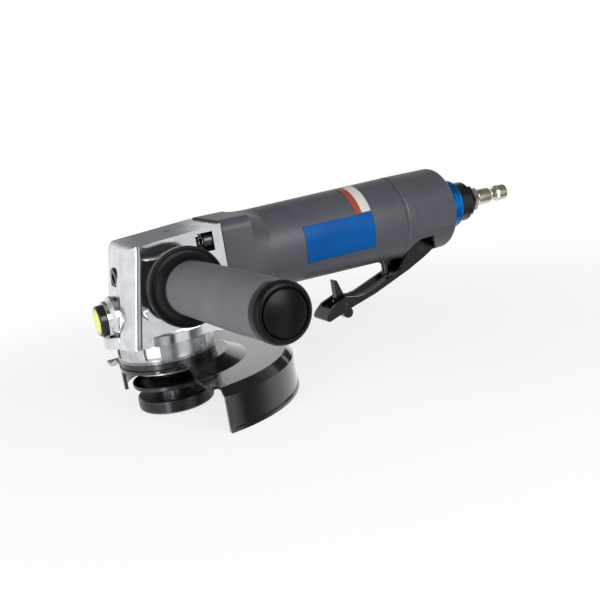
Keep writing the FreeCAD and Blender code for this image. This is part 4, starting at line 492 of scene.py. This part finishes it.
def sleeveGroup():
    # a turned sleeve whose radius swells from its start to its middle and falls to its end
    group, given, output = startGroup("turnedSleeve", [
        ("Start", "Vector"), ("End", "Vector"), ("Start Radius", "Float"), ("Middle Radius", "Float"),
        ("End Radius", "Float"), ("Middle At", "Float"), ("Steps", "Int"), ("Around", "Int"),
        ("Finish", "Material"),
    ])
    ends = {"Start": given["Start"], "End": given["End"]}
    axis = addNode(group, "GeometryNodeCurvePrimitiveLine", links=ends)
    stepLinks = {"Curve": axis.outputs[0], "Count": given["Steps"]}
    stepped = addNode(group, "GeometryNodeResampleCurve", links=stepLinks)
    place = addNode(group, "GeometryNodeSplineParameter")
    swell = addNode(group, "ShaderNodeMapRange", {}, {
        "Value": place.outputs["Factor"], "From Max": given["Middle At"], "To Min": given["Start Radius"],
        "To Max": given["Middle Radius"]}, interpolation_type="SMOOTHSTEP")
    change = addMath(group, "SUBTRACT", given["End Radius"], given["Middle Radius"])
    fall = addNode(group, "ShaderNodeMapRange", {"To Min": 0.0}, {
        "Value": place.outputs["Factor"], "From Min": given["Middle At"], "To Max": change},
        interpolation_type="SMOOTHSTEP")
    radius = addMath(group, "ADD", swell.outputs[0], fall.outputs[0])
    ringLinks = {"Resolution": given["Around"]}
    ring = addNode(group, "GeometryNodeCurvePrimitiveCircle", {"Radius": 1.0}, ringLinks)
    sleeveLinks = {"Curve": stepped.outputs[0], "Profile Curve": ring.outputs[0], "Scale": radius}
    sleeve = addNode(group, "GeometryNodeCurveToMesh", {"Fill Caps": True}, sleeveLinks)
    endGroup(group, sleeve.outputs[0], given["Finish"], output)
    return group


def beadGroup():
    # a row of thin round beads, one ring after another along an axis
    group, given, output = startGroup("beadRow", [
        ("Count", "Int"), ("First", "Vector"), ("Step", "Vector"), ("Turn", "Rotation"),
        ("Ring Radius", "Float"), ("Bead Radius", "Float"), ("Ring Points", "Int"), ("Bead Points", "Int"),
        ("Finish", "Material"),
    ])
    rowLinks = {"Count": given["Count"], "Start Location": given["First"], "Offset": given["Step"]}
    row = addNode(group, "GeometryNodeMeshLine", links=rowLinks)
    ringLinks = {"Radius": given["Ring Radius"], "Resolution": given["Ring Points"]}
    ring = addNode(group, "GeometryNodeCurvePrimitiveCircle", links=ringLinks)
    wireLinks = {"Radius": given["Bead Radius"], "Resolution": given["Bead Points"]}
    wire = addNode(group, "GeometryNodeCurvePrimitiveCircle", links=wireLinks)
    beadLinks = {"Curve": ring.outputs[0], "Profile Curve": wire.outputs[0]}
    bead = addNode(group, "GeometryNodeCurveToMesh", links=beadLinks)
    placeLinks = {"Points": row.outputs[0], "Instance": bead.outputs[0], "Rotation": given["Turn"]}
    placed = addNode(group, "GeometryNodeInstanceOnPoints", links=placeLinks)
    endGroup(group, placed.outputs[0], given["Finish"], output)
    return group


def grow(name, group, values, body, finish, *stoodFor):
    # runs the node tree with these values and keeps the result as a plain mesh
    seed = bpy.data.objects.new(name + "Seed", bpy.data.meshes.new(name + "Seed"))
    scene.collection.objects.link(seed)
    maker = seed.modifiers.new("maker", "NODES")
    maker.node_group = group
    sockets = {item.name: item.identifier for item in group.interface.items_tree if item.in_out == "INPUT"}
    for title, value in dict(values, Finish=finishes[finish]).items():
        maker[sockets[title]] = value
    seed.update_tag()
    graph = bpy.context.evaluated_depsgraph_get()
    mesh = bpy.data.meshes.new_from_object(seed.evaluated_get(graph), depsgraph=graph)
    mesh.name = name
    bpy.data.objects.remove(seed)
    faceOutwards(mesh)
    print(name, "faces:", len(mesh.polygons))
    addPiece(name, mesh, body, finish, *stoodFor)


gripShape = {
    "start": 43.5, "end": 128.0,  # mm along the handle, from the flange's front into the end cap
    "startRadius": 13.4, "middleRadius": 13.6, "endRadius": 13.0, "middleAt": 0.6, "steps": 120,
}


def makeGrip(setup, group):
    base, along, across = handleAxis(handleLine)
    values = {
        "Start": (base + along * setup["start"]) * mm, "End": (base + along * setup["end"]) * mm,
        "Start Radius": setup["startRadius"] * mm, "Middle Radius": setup["middleRadius"] * mm,
        "End Radius": setup["endRadius"] * mm, "Middle At": setup["middleAt"], "Steps": setup["steps"],
        "Around": handleLine["around"],
    }
    grow("handleSleeve", group, values, "machine", "softGrip", "handle_grip")


# mm and radians, each row of fine turned beads with the body it rides on
beadRows = [
    {"name": "nutBeads", "body": "spindle", "finish": "blackOxideSteel", "count": 6,
     "first": (0, 0, 1.7), "step": (0, 0, 0.75), "turn": (0, 0, 0), "radius": 20.0, "bead": 0.16},
    {"name": "neckBeads", "body": "machine", "finish": "groundSteel", "count": 2,
     "first": (0, 0, 29.2), "step": (0, 0, 0.6), "turn": (0, 0, 0), "radius": 25.6, "bead": 0.2},
    {"name": "ringBeads", "body": "exhaust_ring", "finish": "anodisedBlue", "count": 4,
     "first": (182.0, 0, 70.5), "step": (2.7, 0, 0), "turn": (0, math.pi / 2, 0), "radius": 14.2,
     "bead": 0.3},
]
beadPoints = {"ring": 144, "bead": 10}


def makeBeads(row, group):
    values = {
        "Count": row["count"], "First": Vector(row["first"]) * mm, "Step": Vector(row["step"]) * mm,
        "Turn": row["turn"], "Ring Radius": row["radius"] * mm, "Bead Radius": row["bead"] * mm,
        "Ring Points": beadPoints["ring"], "Bead Points": beadPoints["bead"],
    }
    grow(row["name"], group, values, row["body"], row["finish"])


for row in frame["record"]["subparts"]:
    piece = nodes[row["node"]]
    paint(piece, nodeFinish.get(row["node"], slotFinish[row["material_slot"]]))
    softenEdges(piece, edgeSetup)
print("CAD nodes finished")

makeFlange(flangeShape)
makeCap(capShape)
makeGrip(gripShape, sleeveGroup())
beads = beadGroup()
for beadRow in beadRows:
    makeBeads(beadRow, beads)
print("handle and bead pieces made")

stageSetup = {
    "floorZ": -1.4,               # mm, just under the guard's rim
    "floorSize": 6.0,             # m
    "floorColour": "#F2F2F2",
    "shadowShare": 0.22,          # share of the real floor that the camera sees near the tool
    "shadowReach": (0.12, 0.42),  # m, where the share starts to fall and where it ends
    "centre": (60, -20),          # mm
    "ambient": 0.28,
}


def addMixed(tree, share, first, second):
    return addNode(tree, "ShaderNodeMixShader", {}, {0: share, 1: first, 2: second}).outputs[0]


def makeFloor(setup):
    # pale floor: the camera sees it white with the tool's soft shadow, and a mirror looks through it
    mesh = bpy.data.meshes.new("floor")
    half, z = setup["floorSize"] / 2, setup["floorZ"] * mm
    corners = [(-half, -half, z), (half, -half, z), (half, half, z), (-half, half, z)]
    mesh.from_pydata(corners, [], [(0, 1, 2, 3)])
    floor = bpy.data.objects.new("floor", mesh)
    scene.collection.objects.link(floor)
    material = bpy.data.materials.new("studioFloor")
    material.use_nodes = True
    tree = material.node_tree
    tree.nodes.clear()
    matt = addNode(tree, "ShaderNodeBsdfDiffuse", {"Color": toLinear(setup["floorColour"])})
    glow = addNode(tree, "ShaderNodeEmission", {"Color": plainWhite, "Strength": 1.0})
    rays = addNode(tree, "ShaderNodeLightPath").outputs
    coords = addNode(tree, "ShaderNodeTexCoord")
    centre = (setup["centre"][0] * mm, setup["centre"][1] * mm, z)
    away = addNode(tree, "ShaderNodeVectorMath", {1: centre}, {0: coords.outputs["Object"]},
                   operation="DISTANCE").outputs["Value"]
    whiteShare = addRange(tree, away, setup["shadowReach"], (1 - setup["shadowShare"], 1), smooth=True)
    seen = addMath(tree, "MULTIPLY", rays["Is Camera Ray"], whiteShare)
    shown = addMixed(tree, seen, matt.outputs[0], glow.outputs[0])
    through = addNode(tree, "ShaderNodeBsdfTransparent")
    whole = addMixed(tree, rays["Is Glossy Ray"], shown, through.outputs[0])
    addNode(tree, "ShaderNodeOutputMaterial", links={"Surface": whole})
    mesh.materials.append(material)


# what a mirror sees round the room, by azimuth in degrees: white walls, darker ones on the side handle's
# side, and a narrow dark one behind the tool
roomWalls = [
    (-180, "#FFFFFF"), (-152, "#FFFFFF"), (-143, "#8492A0"), (-125, "#66747F"), (-112, "#C9CDD1"),
    (-101, "#B9BDC1"), (-94, "#2E3136"), (-87, "#3A3D42"), (-80, "#E6E9EC"), (-56, "#F4F6F8"),
    (-46, "#55585C"), (-28, "#83868A"), (-8, "#E4E5E7"), (71, "#F0F1F2"), (73, "#7A7C81"),
    (78, "#7A7C81"), (82, "#F6F6F7"), (180, "#FFFFFF"),
]
roomStrip = {"azimuth": -138.0, "halfWidth": 2.5, "fade": 3.0, "strength": 6.0}
# the ceiling blends in between these two heights of a ray that is 1 long
roomCeiling = {"rise": (0.35, 0.7), "strength": 0.15}


def addLight(tree, strength, colour=plainWhite):
    light = addNode(tree, "ShaderNodeBackground")
    feed(tree, light.inputs["Color"], colour)
    feed(tree, light.inputs["Strength"], strength)
    return light.outputs[0]


def makeWorld(setup):
    world = bpy.data.worlds.new("studio")
    scene.world = world
    world.use_nodes = True
    tree = world.node_tree
    tree.nodes.clear()
    rays = addNode(tree, "ShaderNodeLightPath").outputs
    coords = addNode(tree, "ShaderNodeTexCoord")
    axes = addNode(tree, "ShaderNodeSeparateXYZ", links={"Vector": coords.outputs["Generated"]}).outputs
    azimuth = addMath(tree, "ARCTAN2", axes["Y"], axes["X"])
    turn = addRange(tree, azimuth, (-math.pi, math.pi), (0, 1))
    walls = addRamp(tree, turn, [((angle + 180) / 360, code) for angle, code in roomWalls])
    fromStrip = addMath(tree, "SUBTRACT", azimuth, math.radians(roomStrip["azimuth"]))
    offStrip = addMath(tree, "ABSOLUTE", fromStrip)
    edge, clear = (math.radians(roomStrip["halfWidth"] + fade) for fade in (0, roomStrip["fade"]))
    strip = addRange(tree, offStrip, (edge, clear), (roomStrip["strength"], 0), smooth=True)
    ceiling = addRange(tree, axes["Z"], roomCeiling["rise"], (0, 1), smooth=True)
    lined = addNode(tree, "ShaderNodeAddShader", {}, {0: addLight(tree, 1, walls), 1: addLight(tree, strip)})
    room = addMixed(tree, ceiling, lined.outputs[0], addLight(tree, roomCeiling["strength"]))
    direct = addMath(tree, "MAXIMUM", rays["Is Camera Ray"], rays["Is Transmission Ray"])
    mirrored = addMixed(tree, rays["Is Glossy Ray"], addLight(tree, setup["ambient"]), room)
    sky = addMixed(tree, direct, mirrored, addLight(tree, 1))
    addNode(tree, "ShaderNodeOutputWorld", links={"Surface": sky})


# mm and watts; polished faces see only the room in place of a lamp that isn't mirrored
lamps = [
    {"name": "topSoftbox", "place": (80, -60, 720), "aim": (70, -20, 50), "size": (600, 450),
     "power": 0.15, "mirrored": True},
    {"name": "keySoftbox", "place": (150, -640, 340), "aim": (80, -30, 60), "size": (420, 360),
     "power": 3.0, "mirrored": True},
    {"name": "leftSoftbox", "place": (-600, -240, 200), "aim": (20, -30, 60), "size": (400, 400),
     "power": 4.2, "mirrored": False},
]


def makeLamp(setup):
    data = bpy.data.lights.new(setup["name"], "AREA")
    data.shape = "RECTANGLE"
    data.size, data.size_y = (length * mm for length in setup["size"])
    data.energy = setup["power"]
    lamp = bpy.data.objects.new(setup["name"], data)
    lamp.visible_glossy = setup["mirrored"]
    scene.collection.objects.link(lamp)
    place, aim = Vector(setup["place"]) * mm, Vector(setup["aim"]) * mm
    turn = (aim - place).to_track_quat("-Z", "Y").to_matrix().to_4x4()
    lamp.matrix_world = Matrix.Translation(place) @ turn


makeFloor(stageSetup)
makeWorld(stageSetup)
for lampSetup in lamps:
    makeLamp(lampSetup)
print("stage and lamps set")
